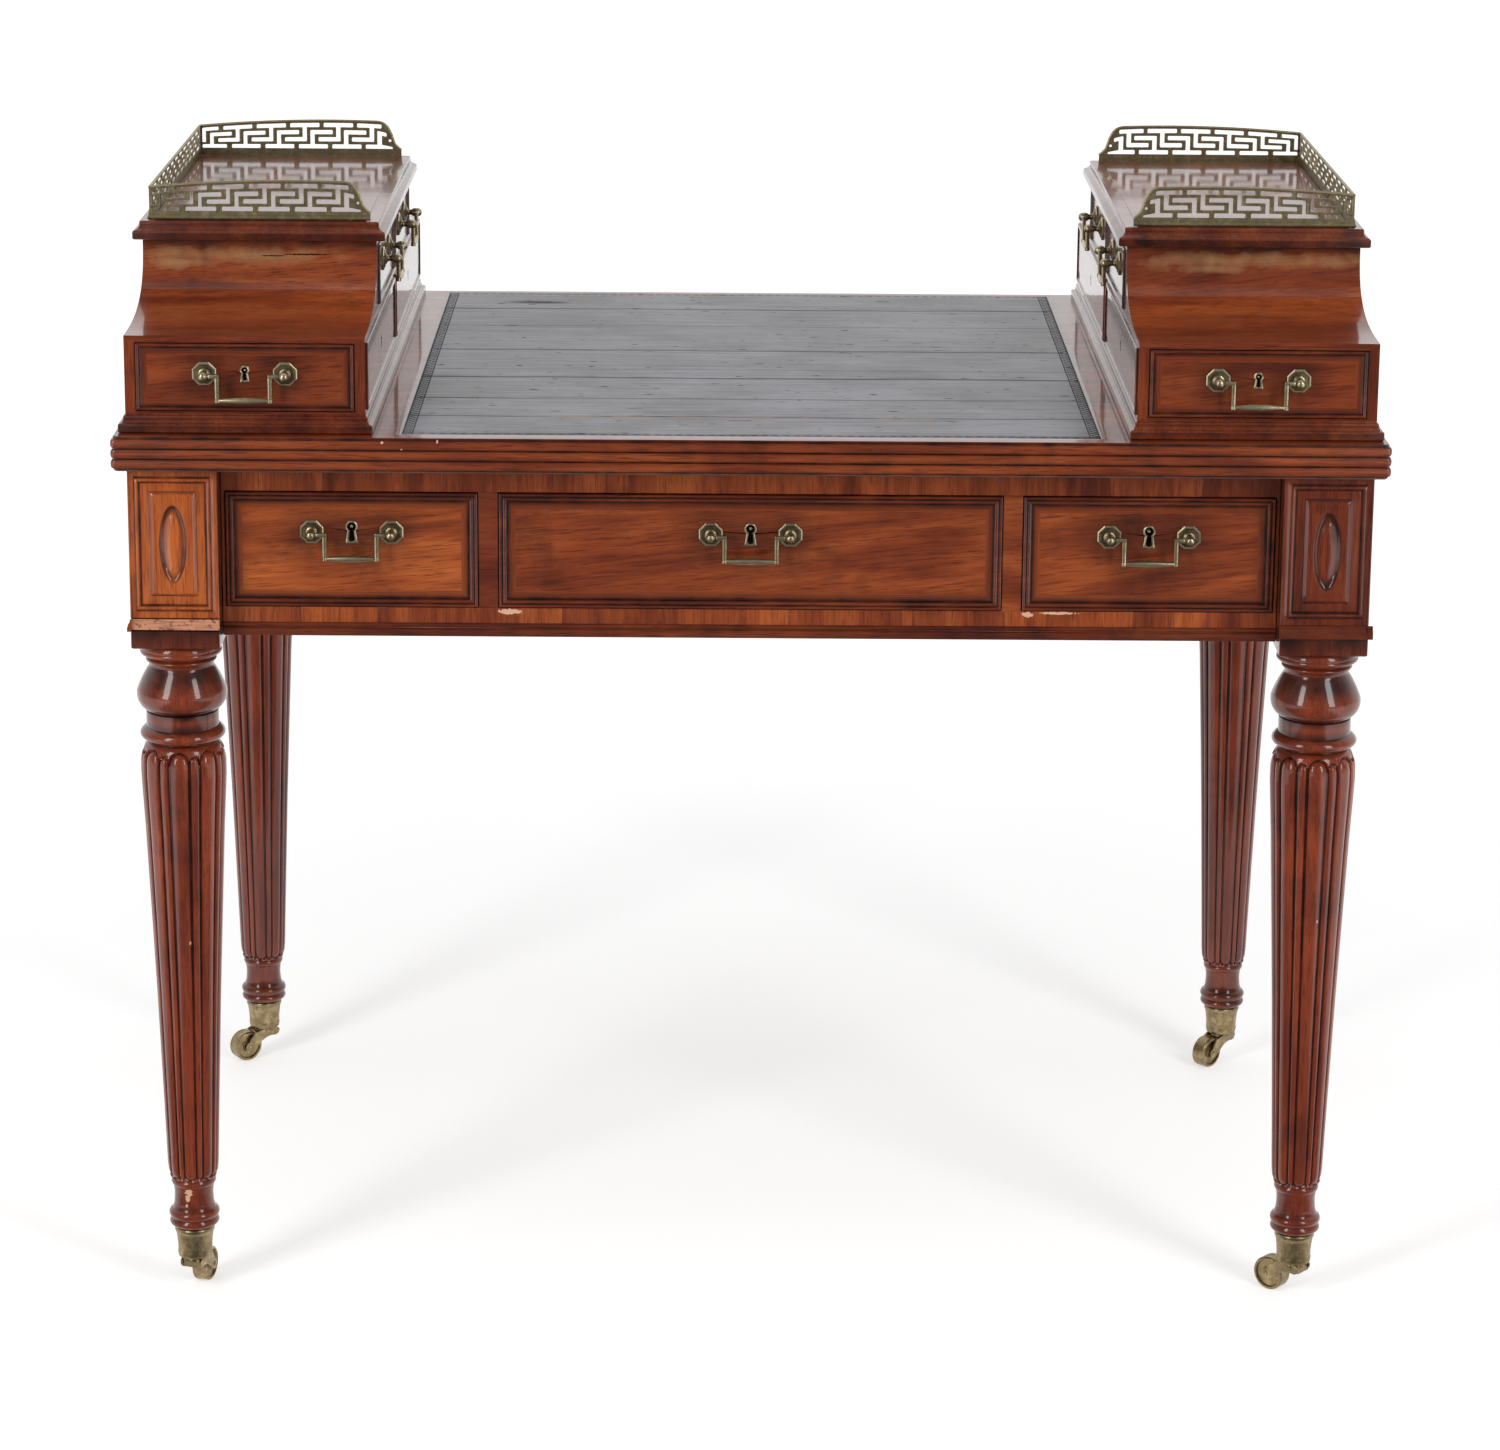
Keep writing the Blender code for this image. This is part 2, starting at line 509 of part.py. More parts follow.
def build_caster(place, x, y):
    """The swivelling fork and its wheel; the wheel trails along the fork's own +X."""
    half = WHEEL_WIDTH / 2 + RUNNING_GAP + CHEEK_THICKNESS
    crown = FORK_TOP - FORK_CROWN_HEIGHT
    tip = WHEEL_TRAIL + CHEEK_HALF_HEIGHT
    outline = ((-FORK_LIP_REACH, FORK_TOP), (-FORK_LIP_REACH, crown), (0.0, crown),
               (WHEEL_TRAIL, WHEEL_RADIUS - CHEEK_HALF_HEIGHT), (tip, WHEEL_RADIUS - CHEEK_HALF_HEIGHT / 2),
               (tip, WHEEL_RADIUS + CHEEK_HALF_HEIGHT / 2), (WHEEL_TRAIL, WHEEL_RADIUS + CHEEK_HALF_HEIGHT),
               (FORK_LIP_REACH, FORK_TOP))
    bm = bmesh.new()
    add_loft(bm, [[Vector((px, side, pz)) for px, pz in outline] for side in (-half, half)])
    fork = add_object(f"caster_fork_{place}", bm, "brass")
    fork.location = (x, y, 0.0)
    fork.rotation_euler.z = math.radians(TRAIL_ANGLES[place])
    tyre = WHEEL_RADIUS / math.cos(math.pi / ROUND_SIDES)
    slot = bmesh.new()
    gap_y = WHEEL_WIDTH / 2 + RUNNING_GAP
    add_box(slot, (WHEEL_TRAIL - tyre - RUNNING_GAP, -gap_y, 0.0),
            (tip + CUT_OVERRUN, gap_y, FORK_TOP + CUT_OVERRUN))
    combine(fork, slot, "DIFFERENCE", "wheel_slot")
    pins = bmesh.new()
    add_loft(pins, [circle(SWIVEL_PIN_RADIUS, z, PIN_SIDES)
                    for z in (FORK_TOP - CUT_OVERRUN, FORK_TOP + SWIVEL_PIN_LENGTH)])
    axle = 2 * (half + RIVET_LENGTH)
    turn = Matrix.Translation((WHEEL_TRAIL, 0.0, WHEEL_RADIUS)) @ Matrix.Rotation(math.pi / 2, 4, "X")
    bmesh.ops.create_cone(pins, cap_ends=True, segments=PIN_SIDES, radius1=AXLE_RADIUS, radius2=AXLE_RADIUS,
                          depth=axle, matrix=turn)
    combine(fork, pins, "UNION", "pins")
    bm = bmesh.new()
    bore = AXLE_RADIUS + RUNNING_GAP
    flat_down = math.pi / 2 + math.pi / ROUND_SIDES
    outline = ((bore, -WHEEL_WIDTH / 2), (tyre, -WHEEL_WIDTH / 2),
               (tyre, WHEEL_WIDTH / 2), (bore, WHEEL_WIDTH / 2))
    add_loft(bm, [circle(r, z, start=flat_down) for r, z in outline], closed=True)
    bmesh.ops.rotate(bm, verts=bm.verts, cent=(0, 0, 0), matrix=Matrix.Rotation(math.pi / 2, 3, "X"))
    wheel = add_object(f"caster_wheel_{place}", bm, "brass", smooth=True)
    wheel.parent = fork
    wheel.location = (WHEEL_TRAIL, 0.0, WHEEL_RADIUS)


def case_rings():
    """Every ring of a case round its own middle, from the base moulding up to the bed inside the gallery."""
    half_x = CASE_WIDTH / 2
    rings = []
    for height, reach in CASE_MOULDING_SHARES:
        out = reach * CASE_MOULDING_PROJECTION
        z = CASE_BOTTOM + height * CASE_MOULDING_HEIGHT
        rings.append(rectangle(half_x + out, CASE_HALF_DEPTH + out, z))
    rings.append(rectangle(half_x, CASE_HALF_DEPTH, CASE_LEDGE))
    ledge_end = CASE_HALF_DEPTH - CAVETTO_LEDGE
    run = ledge_end - CASE_UPPER_DEPTH / 2
    power = 2 / CAVETTO_SHARPNESS
    for step in range(1, CAVETTO_STEPS + 1):
        turn = math.pi / 2 * step / CAVETTO_STEPS
        depth = ledge_end - run * math.sin(turn) ** power
        rise = CASE_UPPER_HEIGHT * (1 - abs(math.cos(turn)) ** power)
        rings.append(rectangle(half_x, depth, CASE_LEDGE + rise))
    for height, reach in CASE_TOP_SHARES:
        out = reach * CASE_TOP_OVERHANG
        rings.append(rectangle(half_x + out, CASE_UPPER_DEPTH / 2 + out,
                               CASE_SHOULDER + height * CASE_TOP_THICKNESS))
    inside = GALLERY_THICKNESS + CASE_BED_CLEARANCE
    for rise in (0.0, CASE_BED_RISE):
        rings.append(rectangle(GALLERY_OUTER - inside, GALLERY_FRONT - inside, CASE_TOP + rise))
    return rings


def build_case(side, sx):
    """One raised case, open for its three drawers, with two blind beaded panels on its inner side."""
    bm = bmesh.new()
    add_loft(bm, case_rings())
    case = add_object(f"case_{side}", bm, "mahogany")
    case.location.x = sx * CASE_X
    inner = -sx * CASE_WIDTH / 2
    panels = bmesh.new()
    for sy in (-1, 1):
        piece = bmesh.new()
        xs = sorted((inner - sx * BLIND_PANEL_PROUD, inner + sx * BLIND_PANEL_ROOT))
        middle = sy * BLIND_PANEL_Y
        add_box(piece, (xs[0], middle - BLIND_PANEL_WIDTH / 2, CASE_DRAWER_Z - CASE_DRAWER_HEIGHT / 2),
                (xs[1], middle + BLIND_PANEL_WIDTH / 2, CASE_DRAWER_Z + CASE_DRAWER_HEIGHT / 2))
        bead = ((DRAWER_BEAD_WIDTH, 0.0), (DRAWER_BEAD_SLOPE, -BLIND_PANEL_BEAD / 2))
        step_face(piece, face_towards(piece, (-sx, 0.0, 0.0)), bead)
        scratch = bpy.data.meshes.new("panel")
        piece.to_mesh(scratch)
        piece.free()
        panels.from_mesh(scratch)
        bpy.data.meshes.remove(scratch)
    combine(case, panels, "UNION", "blind_panels")
    cuts = bmesh.new()
    half = CASE_DRAWER_WIDTH / 2 + DRAWER_GAP
    height = CASE_DRAWER_HEIGHT / 2 + DRAWER_GAP
    add_box(cuts, (-half, -CASE_HALF_DEPTH - CUT_OVERRUN, CASE_DRAWER_Z - height),
            (half, CASE_DRAWER_DEPTH - CASE_HALF_DEPTH + DRAWER_GAP, CASE_DRAWER_Z + height))
    half = INNER_DRAWER_WIDTH / 2 + DRAWER_GAP
    height = INNER_DRAWER_HEIGHT / 2
    xs = sorted((inner - sx * CUT_OVERRUN, inner + sx * (INNER_DRAWER_DEPTH + DRAWER_GAP)))
    for sy in (-1, 1):
        middle = sy * INNER_DRAWER_Y
        add_box(cuts, (xs[0], middle - half, INNER_DRAWER_Z - height - DRAWER_GAP),
                (xs[1], middle + half, INNER_DRAWER_Z + height + DRAWER_GAP))
        keyhole = sorted((inner - sx * (BLIND_PANEL_PROUD + CUT_OVERRUN), inner + sx * BLIND_PANEL_ROOT))
        add_box(cuts, (keyhole[0], sy * BLIND_PANEL_Y - KEYHOLE_WIDTH / 2, CASE_DRAWER_Z - KEYHOLE_HEIGHT / 2),
                (keyhole[1], sy * BLIND_PANEL_Y + KEYHOLE_WIDTH / 2, CASE_DRAWER_Z + KEYHOLE_HEIGHT / 2))
    combine(case, cuts, "DIFFERENCE", "drawer_openings")


def add_tray(bm, low, high):
    """Adds an open-topped drawer between two corners, its front towards -Y and thicker than its walls."""
    wall = DRAWER_WALL
    outer = [Vector((x, y, z)) for z in (low.z, high.z)
             for x, y in ((low.x, low.y), (high.x, low.y), (high.x, high.y), (low.x, high.y))]
    front = low.y + DRAWER_FRONT
    inner = [Vector((x, y, z)) for z in (low.z + DRAWER_BOTTOM, high.z)
             for x, y in ((low.x + wall, front), (high.x - wall, front),
                          (high.x - wall, high.y - wall), (low.x + wall, high.y - wall))]
    a = [bm.verts.new(p) for p in outer]
    b = [bm.verts.new(p) for p in inner]
    bm.faces.new(a[:4])
    bm.faces.new(b[:4])
    stitch(bm, a[:4], a[4:])
    stitch(bm, b[:4], b[4:])
    stitch(bm, a[4:], b[4:])


def build_drawer(name, width, height, depth, place, turn, lock, handle_rise):
    """One drawer whose face plane is y = 0 in its own axes, with its pair of posts and its bail."""
    bm = bmesh.new()
    add_tray(bm, Vector((-width / 2, -DRAWER_PROUD, -height / 2)), Vector((width / 2, depth, height / 2)))
    bmesh.ops.recalc_face_normals(bm, faces=bm.faces)
    step_face(bm, face_towards(bm, (0.0, -1.0, 0.0)),
              ((DRAWER_BEAD_WIDTH, 0.0), (DRAWER_BEAD_SLOPE, -DRAWER_FIELD_SINK)))
    drawer = add_object(f"drawer_{name}", bm, "mahogany")
    drawer.location = place
    drawer.rotation_euler.z = turn
    if lock:
        cut = bmesh.new()
        add_box(cut, (-KEYHOLE_WIDTH / 2, -DRAWER_PROUD - CUT_OVERRUN, handle_rise - KEYHOLE_HEIGHT / 2),
                (KEYHOLE_WIDTH / 2, KEYHOLE_DEPTH, handle_rise + KEYHOLE_HEIGHT / 2))
        combine(drawer, cut, "DIFFERENCE", "keyhole")
    for label, sx in (("left", -1), ("right", 1)):
        post = build_post(f"post_{name}_{label}", sx)
        post.parent = drawer
        post.location = (sx * POST_SPACING / 2, FIELD_PLANE - SEAT_GAP, handle_rise)
    bail = build_bail(f"bail_{name}")
    bail.parent = drawer
    bail.location = (0.0, FIELD_PLANE - BALL_STANDOFF, handle_rise)


def build_post(name, sx):
    """An octagonal rose with a ball-ended post; its own -Y points out and the bail's pin enters its ball."""
    rose = ROSE_ACROSS / 2 / math.cos(math.pi / ROSE_SIDES)
    ball = BALL_STANDOFF - SEAT_GAP
    start = math.pi / ROSE_SIDES
    levels = ((rose, 0.0), (rose, ROSE_STEP), (rose * ROSE_STEP_SHARE, ROSE_THICKNESS))
    rings = [circle(radius, z, ROSE_SIDES, start) for radius, z in levels]
    levels = [(NECK_RADIUS, ROSE_THICKNESS), (NECK_RADIUS, ball + BALL_RADIUS * BALL_NECK_SHARE)]
    levels += [(BALL_RADIUS * share, ball + BALL_RADIUS * height) for height, share in BALL_SHARES]
    rings += [circle(radius, z, BALL_SIDES, start) for radius, z in levels]
    bm = bmesh.new()
    add_loft(bm, rings)
    bmesh.ops.rotate(bm, verts=bm.verts, cent=(0, 0, 0), matrix=Matrix.Rotation(math.pi / 2, 3, "X"))
    post = add_object(name, bm, "brass")
    hole = bmesh.new()
    reach = BALL_RADIUS - BAIL_PIN_DEPTH - BAIL_PIN_GAP
    middle = Vector((-sx * (reach + BALL_RADIUS) / 2, -ball, 0.0))
    turn = Matrix.Translation(middle) @ Matrix.Rotation(math.pi / 2, 4, "Y")
    radius = BAIL_PIN_RADIUS + BAIL_PIN_GAP
    bmesh.ops.create_cone(hole, cap_ends=True, segments=BAIL_SIDES, radius1=radius, radius2=radius,
                          depth=BALL_RADIUS - reach + CUT_OVERRUN / 2, matrix=turn)
    combine(post, hole, "DIFFERENCE", "pin_hole")
    return post


def bail_stations():
    """The bail's middle line and radius, as (x, z, radius), from one pin's tip to the other's."""
    ball_side = POST_SPACING / 2 - BALL_RADIUS
    arm = BAIL_ARM_SPACING / 2
    half = [
        (ball_side + BAIL_PIN_DEPTH, 0.0, BAIL_PIN_RADIUS),
        (ball_side - SEAT_GAP, 0.0, BAIL_PIN_RADIUS),
        (ball_side - SEAT_GAP, 0.0, BAIL_SHOULDER_RADIUS),
        (arm, 0.0, BAIL_SHOULDER_RADIUS),
        (arm, -BAIL_DROP, BAIL_ARM_RADIUS),
        (arm / 2, -BAIL_DROP, BAIL_BAR_RADIUS * BAIL_QUARTER_SHARE),
    ]
    return [(-x, z, r) for x, z, r in half] + [(0.0, -BAIL_DROP, BAIL_BAR_RADIUS)] + list(reversed(half))


def build_bail(name):
    """The hanging bail, bent in the plane y = 0 with its pins on its own X axis."""
    stations = bail_stations()
    rings = []
    for i, (x, z, radius) in enumerate(stations):
        here = Vector((x, z))
        before = next((Vector(s[:2]) for s in reversed(stations[:i]) if Vector(s[:2]) != here), None)
        after = next((Vector(s[:2]) for s in stations[i + 1:] if Vector(s[:2]) != here), None)
        into = (here - before).normalized() if before else (after - here).normalized()
        out = (after - here).normalized() if after else into
        along = (into + out).normalized()
        across = Vector((-along.y, along.x)) / along.dot(into)
        ring = []
        for side in range(BAIL_SIDES):
            angle = 2 * math.pi * side / BAIL_SIDES
            flat = here + across * (radius * math.cos(angle))
            ring.append(Vector((flat.x, radius * math.sin(angle), flat.y)))
        rings.append(ring)
    bm = bmesh.new()
    add_loft(bm, rings)
    return add_object(name, bm, "brass", smooth=True)


def fret_holes(length, ramped):
    """The key fret's holes along one run, in metres along it and rows up; a ramped end cuts them short."""
    count = max(1, round(length / FRET_PITCH))
    pitch = length / count
    stile = FRET_PHASE_SHARE * pitch
    holes = []
    for number in range(count):
        for key in (HANGING_KEY, STANDING_KEY):
            hole = []
            for column, row in key:
                stop = length - stile
                if ramped:
                    base_row = row if key is HANGING_KEY or row > 1 else 0
                    stop = length * next(share for first, share in FRET_END_SHARES if base_row >= first)
                s = (number + FRET_PHASE_SHARE + column / FRET_COLUMNS) * pitch
                point = (min(max(s, stile), stop), row)
                if not hole or point != hole[-1]:
                    hole.append(point)
            if hole[0] == hole[-1]:
                hole.pop()
            holes.append(hole)
    return holes


def crest(share, ramped):
    """The gallery's height share at a share of a run: arched on a ramped run, level on the other."""
    if not ramped:
        return GALLERY_CORNER_SHARE
    fall = 1 - GALLERY_CORNER_SHARE
    return 1 - fall * ((share - GALLERY_CREST_SHARE) / GALLERY_CREST_SHARE) ** 2


def add_run(bm, length, ramped, place):
    """Fills one pierced run in the plane y = 0; place turns a length along it into the laid-out x."""
    level = GALLERY_HEIGHT * GALLERY_CORNER_SHARE
    outline = [(0.0, 0.0), (0.0, level)]
    if ramped:
        outline += [(share * length, GALLERY_HEIGHT * crest(share, True)) for share in GALLERY_TOP_SHARES]
        outline += [(share * length, height * GALLERY_HEIGHT) for share, height in GALLERY_END_SHARES]
    else:
        outline += [(length, level)]
    outline += [(length, 0.0)]
    loops = [outline]
    for hole in fret_holes(length, ramped):
        loop = []
        for s, row in hole:
            clear = GALLERY_HEIGHT * crest(s / length, ramped) - GALLERY_RAIL - GALLERY_BASE
            loop.append((s, GALLERY_BASE + clear * row / FRET_ROWS))
        loops.append(loop)
    edges = []
    for loop in loops:
        verts = [bm.verts.new((place(s), 0.0, z)) for s, z in loop]
        edges += [bm.edges.new((verts[i - 1], verts[i])) for i in range(len(verts))]
    bmesh.ops.triangle_fill(bm, use_beauty=True, edges=edges, normal=(0.0, -1.0, 0.0))


def build_gallery(side, sx):
    """A pierced brass gallery, laid out flat and then folded round three sides of a case's top."""
    outer, front = GALLERY_OUTER, GALLERY_FRONT
    across, along = 2 * outer, 2 * front
    bm = bmesh.new()
    add_run(bm, across, True, lambda s: -s)
    add_run(bm, along, False, lambda s: s)
    add_run(bm, across, True, lambda s: along + s)
    bmesh.ops.remove_doubles(bm, verts=bm.verts, dist=SEAT_GAP / 10)
    thick = bmesh.ops.extrude_face_region(bm, geom=bm.faces[:])
    inside = {item for item in thick["geom"] if isinstance(item, bmesh.types.BMVert)}
    for vert in bm.verts:
        depth = GALLERY_THICKNESS if vert in inside else 0.0
        d = vert.co.x
        if d < 0:
            share = -d / across
            x, y = (outer - depth) * (1 - share) - outer * share, depth - front
        elif d > along:
            share = (d - along) / across
            x, y = (outer - depth) * (1 - share) - outer * share, front - depth
        else:
            x, y = outer - depth, (front - depth) * (2 * d / along - 1)
        vert.co = Vector((sx * x, y, vert.co.z))
    gallery = add_object(f"gallery_{side}", bm, "brass")
    gallery.location = (sx * CASE_X, 0.0, CASE_TOP + SEAT_GAP)


def build_drawers():
    """The nine drawers, each where it lies when shut."""
    for name, x, width in (("frieze_left", -SIDE_DRAWER_X, SIDE_DRAWER_WIDTH),
                           ("frieze_centre", 0.0, CENTRE_DRAWER_WIDTH),
                           ("frieze_right", SIDE_DRAWER_X, SIDE_DRAWER_WIDTH)):
        build_drawer(name, width, FRIEZE_DRAWER_HEIGHT, FRIEZE_DRAWER_DEPTH, (x, -FRIEZE_Y, FRIEZE_DRAWER_Z),
                     0.0, True, FRIEZE_HANDLE_RISE)
    for side, sx in (("left", -1), ("right", 1)):
        build_drawer(f"case_{side}_front", CASE_DRAWER_WIDTH, CASE_DRAWER_HEIGHT, CASE_DRAWER_DEPTH,
                     (sx * CASE_X, -CASE_HALF_DEPTH, CASE_DRAWER_Z), 0.0, True, CASE_HANDLE_RISE)
        for where, sy in (("near", -1), ("far", 1)):
            build_drawer(f"case_{side}_{where}", INNER_DRAWER_WIDTH, INNER_DRAWER_HEIGHT, INNER_DRAWER_DEPTH,
                         (sx * CASE_INNER_X, sy * INNER_DRAWER_Y, INNER_DRAWER_Z), -sx * math.pi / 2,
                         False, INNER_HANDLE_RISE)


def main():
    clear_scene()
    build_writing_top()
    build_leather()
    build_frieze_frame()
    for end, sy in (("front", -1), ("back", 1)):
        for side, sx in (("left", -1), ("right", 1)):
            place = f"{end}_{side}"
            build_leg(place, sx, sy)
            build_caster_cup(place, sx * LEG_X, sy * LEG_Y)
            build_caster(place, sx * LEG_X, sy * LEG_Y)
    for side, sx in (("left", -1), ("right", 1)):
        build_case(side, sx)
        build_gallery(side, sx)
    build_drawers()


main()
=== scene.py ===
import math
from functools import partial

import bpy
import numpy as np
from mathutils import Matrix, Vector


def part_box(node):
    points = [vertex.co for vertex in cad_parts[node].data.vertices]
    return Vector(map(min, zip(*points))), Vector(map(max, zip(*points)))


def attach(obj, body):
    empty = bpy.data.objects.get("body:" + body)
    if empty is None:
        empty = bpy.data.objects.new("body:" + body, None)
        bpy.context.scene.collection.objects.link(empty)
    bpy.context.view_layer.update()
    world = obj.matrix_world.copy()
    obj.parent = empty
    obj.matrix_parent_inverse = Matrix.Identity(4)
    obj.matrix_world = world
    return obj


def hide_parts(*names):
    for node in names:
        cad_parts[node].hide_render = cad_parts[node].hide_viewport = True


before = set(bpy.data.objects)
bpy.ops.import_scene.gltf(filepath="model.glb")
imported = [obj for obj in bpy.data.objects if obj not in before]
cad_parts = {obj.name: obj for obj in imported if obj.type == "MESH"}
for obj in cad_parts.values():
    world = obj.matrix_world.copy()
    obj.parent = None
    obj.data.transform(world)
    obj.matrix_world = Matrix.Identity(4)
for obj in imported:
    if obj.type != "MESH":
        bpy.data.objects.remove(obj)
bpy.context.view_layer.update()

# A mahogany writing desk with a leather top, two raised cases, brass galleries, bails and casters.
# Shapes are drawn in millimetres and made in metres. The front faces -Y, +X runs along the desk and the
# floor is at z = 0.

bl_info = {
    "name": "Mahogany Writing Desk",
    "version": (1, 0, 0),
    "blender": (4, 5, 0),
    "location": "View3D > Sidebar > Writing Desk",
    "description": "Builds the visible surfaces and finishes of a mahogany writing desk",
    "category": "Object",
}

MM = 0.001
SIDES = (("left", -1.0), ("right", 1.0))
PLACES = [(f"{end}_{side}", sx, sy) for end, sy in (("front", -1.0), ("back", 1.0)) for side, sx in SIDES]
# What each point says to its finish: dark wax or tarnish, and painted shade in grooves, hollows and creases;
# the board's tone, from wine red at 0 to faded gold at 1; and wear, which is bare wood, bright brass or cracked leather
MARKS = ("edge", "tone", "wear")


def corners(node):
    """The lowest and highest corners of a frame node, in millimetres."""
    low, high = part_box(node)
    return np.array(low) / MM, np.array(high) / MM


TOP_LOW, TOP_HIGH = corners("writing_top")
LEATHER_LOW, LEATHER_HIGH = corners("leather_inset")
FRIEZE_LOW, FRIEZE_HIGH = corners("frieze_frame")
# The gap round a drawer; a leg's middle, half its block and the block's top; a case's middle and half its width
DRAWER_GAP = 0.7
LEG_X, LEG_Y, HALF_BLOCK, BLOCK_TOP = 485.5, 300.5, 37.5, 749.7
CASE_X, HALF_CASE = 423.3, 100.5
# A gallery's height, the share of it that its level run has, and the length of a pair of its keys
GALLERY_TOP, LEVEL_CREST, FRET_PITCH = 34.6, 0.835, 31.8
# What both sides of a keyhole plate's rim take off its width and height
KEY_RIM = 3.0
FLOOR_RADIUS = 30000.0
LEG_TONES = {"front_left": 0.52, "front_right": 0.42}
# The left front block has faded to gold, the right one is still wine red: tone of its moulding, of its panels
BLOCK_TONES = {"front_left": (0.75, 1.6), "front_right": (0.2, 0.16)}
WHEEL_CENTRE = (22.0, 0.0, 15.0)
TRAIL_ANGLES = {"front_left": 75.0, "front_right": 139.0, "back_left": 215.0, "back_right": 225.0}
# Joints between the boards under the leather, by their place across the desk, and how far each has opened
BOARD_JOINTS = np.array([254, 166, 46, -46, -83.6, -176.5, -253.2])
JOINT_DEPTHS = np.array([0.9, 0.35, 1.0, 0.3, 1.3, 0.7, 0.8])
# The two interlocking holes of the key fret, in tenths of a pitch along and sevenths of a height up
HANGING_KEY = ((-3.7, 7), (4.9, 7), (4.9, 6), (1.1, 6), (1.1, 2), (-5.3, 2), (-5.3, 3), (0, 3), (0, 6), (-3.7, 6))
STANDING_KEY = ((-1.2, 0), (7.3, 0), (7.3, 1), (3.4, 1), (3.4, 4), (8.8, 4), (8.8, 5), (2.3, 5), (2.3, 1), (-1.2, 1))
# Damage, and pale fading with a painted highlight on the hollow fronts; each place as its centre and its half size
FRIEZE_CHIPS = ((-203.5, -312, 622.5, 9.5, 6, 2.2), (262, -312, 624, 15, 6, 1.2), (236, -312, 622.5, 5, 6, 2.2))
LEG_CHIPS = ((-488.2, -318, 95.5, 3.4, 6, 3), (-489, -318, 90.5, 2.2, 6, 4), (-490.2, -318, 83.5, 1.1, 6, 1.2),
             (490.5, -331, 356, 0.9, 4, 1.6), (-480, -330, 330, 0.8, 4, 1.5))
LEDGE_CHIPS = ((-489, -329, 863, 1, 3, 0.9), (-421, -329, 863, 0.8, 3, 0.8), (-381, -329, 863, 1.1, 3, 0.9))
SLAB_CHIPS = ((-308, -350, 776.5, 1.2, 4, 1), (-292, -350, 770.5, 1, 4, 0.7), (-262, -350, 777.5, 0.8, 4, 1.4))
HOLLOW_FADES_AND_HIGHLIGHTS = ((-440, -198, 907, 90, 30, 8), (-485, -203, 901, 40, 30, 6), (430, -200, 908, 110, 30, 8),
                (395, -205, 901, 50, 30, 5))
HOLLOW_CRACKS = ((-381, -198, 907.8, 20, 30, 0.7), (-412, -198, 906.5, 12, 30, 0.5))
# (inset, height, dark wax with painted shade in the quirks and the cove) of the rectangles of a block's panel,
# of its oval cove and of a blind panel
PANEL_STEPS = np.array([
    (0.9, -3.4, 1), (0.9, -1.2, 1), (0, -1.2, 0.5), (0, -0.5, 0.4), (0.4, 0, 0.25), (4.9, 0, 0.2), (5.4, -0.3, 1),
    (5.8, -0.1, 0.9), (6.4, 0.9, 0.3), (7.5, 1.3, 0.15), (8.6, 0.9, 0.35), (9.2, -0.3, 0.9), (9.6, -1.5, 1),
    (10.2, -1.6, 0.9), (11.2, -1.4, 0.2), (17.2, -1.4, 0.1), (17.7, -1.3, 0.95), (18.3, -1, 0.6), (20.6, 1, 0.1),
    (21, 1.1, 0.05)])
COVE_STEPS = np.array([
    (0.4, 1, 0.3), (0.9, 0.2, 0.75), (2, -1, 0.95), (3.4, -1.7, 0.8), (5, -1.5, 0.4), (6.6, -0.8, 0.12),
    (9, -0.3, 0.05), (11.2, -0.1, 0.05)])
BLIND_STEPS = np.array([
    (0, -1, 1), (0, 1.3, 0.4), (0.5, 2, 0.2), (2.6, 2, 0.2), (3.2, 1.2, 1), (3.8, 0.7, 1), (5.4, 0.9, 0.4),
    (14, 0.9, 0.12)])


def linear(hex_colour):
    """An sRGB hex colour as linear RGBA: c/12.92 below 0.04045, else ((c+0.055)/1.055)^2.4."""
    values = [int(hex_colour[i:i + 2], 16) / 255 for i in (1, 3, 5)]
    return tuple(v / 12.92 if v <= 0.04045 else ((v + 0.055) / 1.055) ** 2.4 for v in values) + (1.0,)


def hue(name, description, hex_colour):
    """A colour property with this default."""
    return bpy.props.FloatVectorProperty(name=name, description=description, subtype="COLOR", size=4,
                                         min=0.0, max=1.0, default=linear(hex_colour))


def size(name, description, millimetres):
    """A length property with this default."""
    return bpy.props.FloatProperty(name=name, description=description, unit="LENGTH", default=millimetres * MM,
                                   precision=5)


class WritingDeskSizes(bpy.types.PropertyGroup):
    """Fine sizes of the desk that the CAD frame leaves open."""

    edge_round: size("Arris", "Rounding of the boards' edges", 0.35)
    bead_frame: size("Bead frame", "Width of the double bead round a frieze drawer", 8.4)
    case_bead_frame: size("Case bead", "Width of the bead round a case drawer", 4.6)
    field_sink: size("Field sink", "Depth of a drawer's field behind its bead", 2.2)
    reed_depth: size("Reed depth", "Depth of the grooves between the reeds of a leg", 3.7)
    gallery_wall: size("Gallery wall", "Thickness of the pierced gallery", 1.6)
    crease_depth: size("Crease depth", "Depth of the leather's creases over the board joints", 0.5)


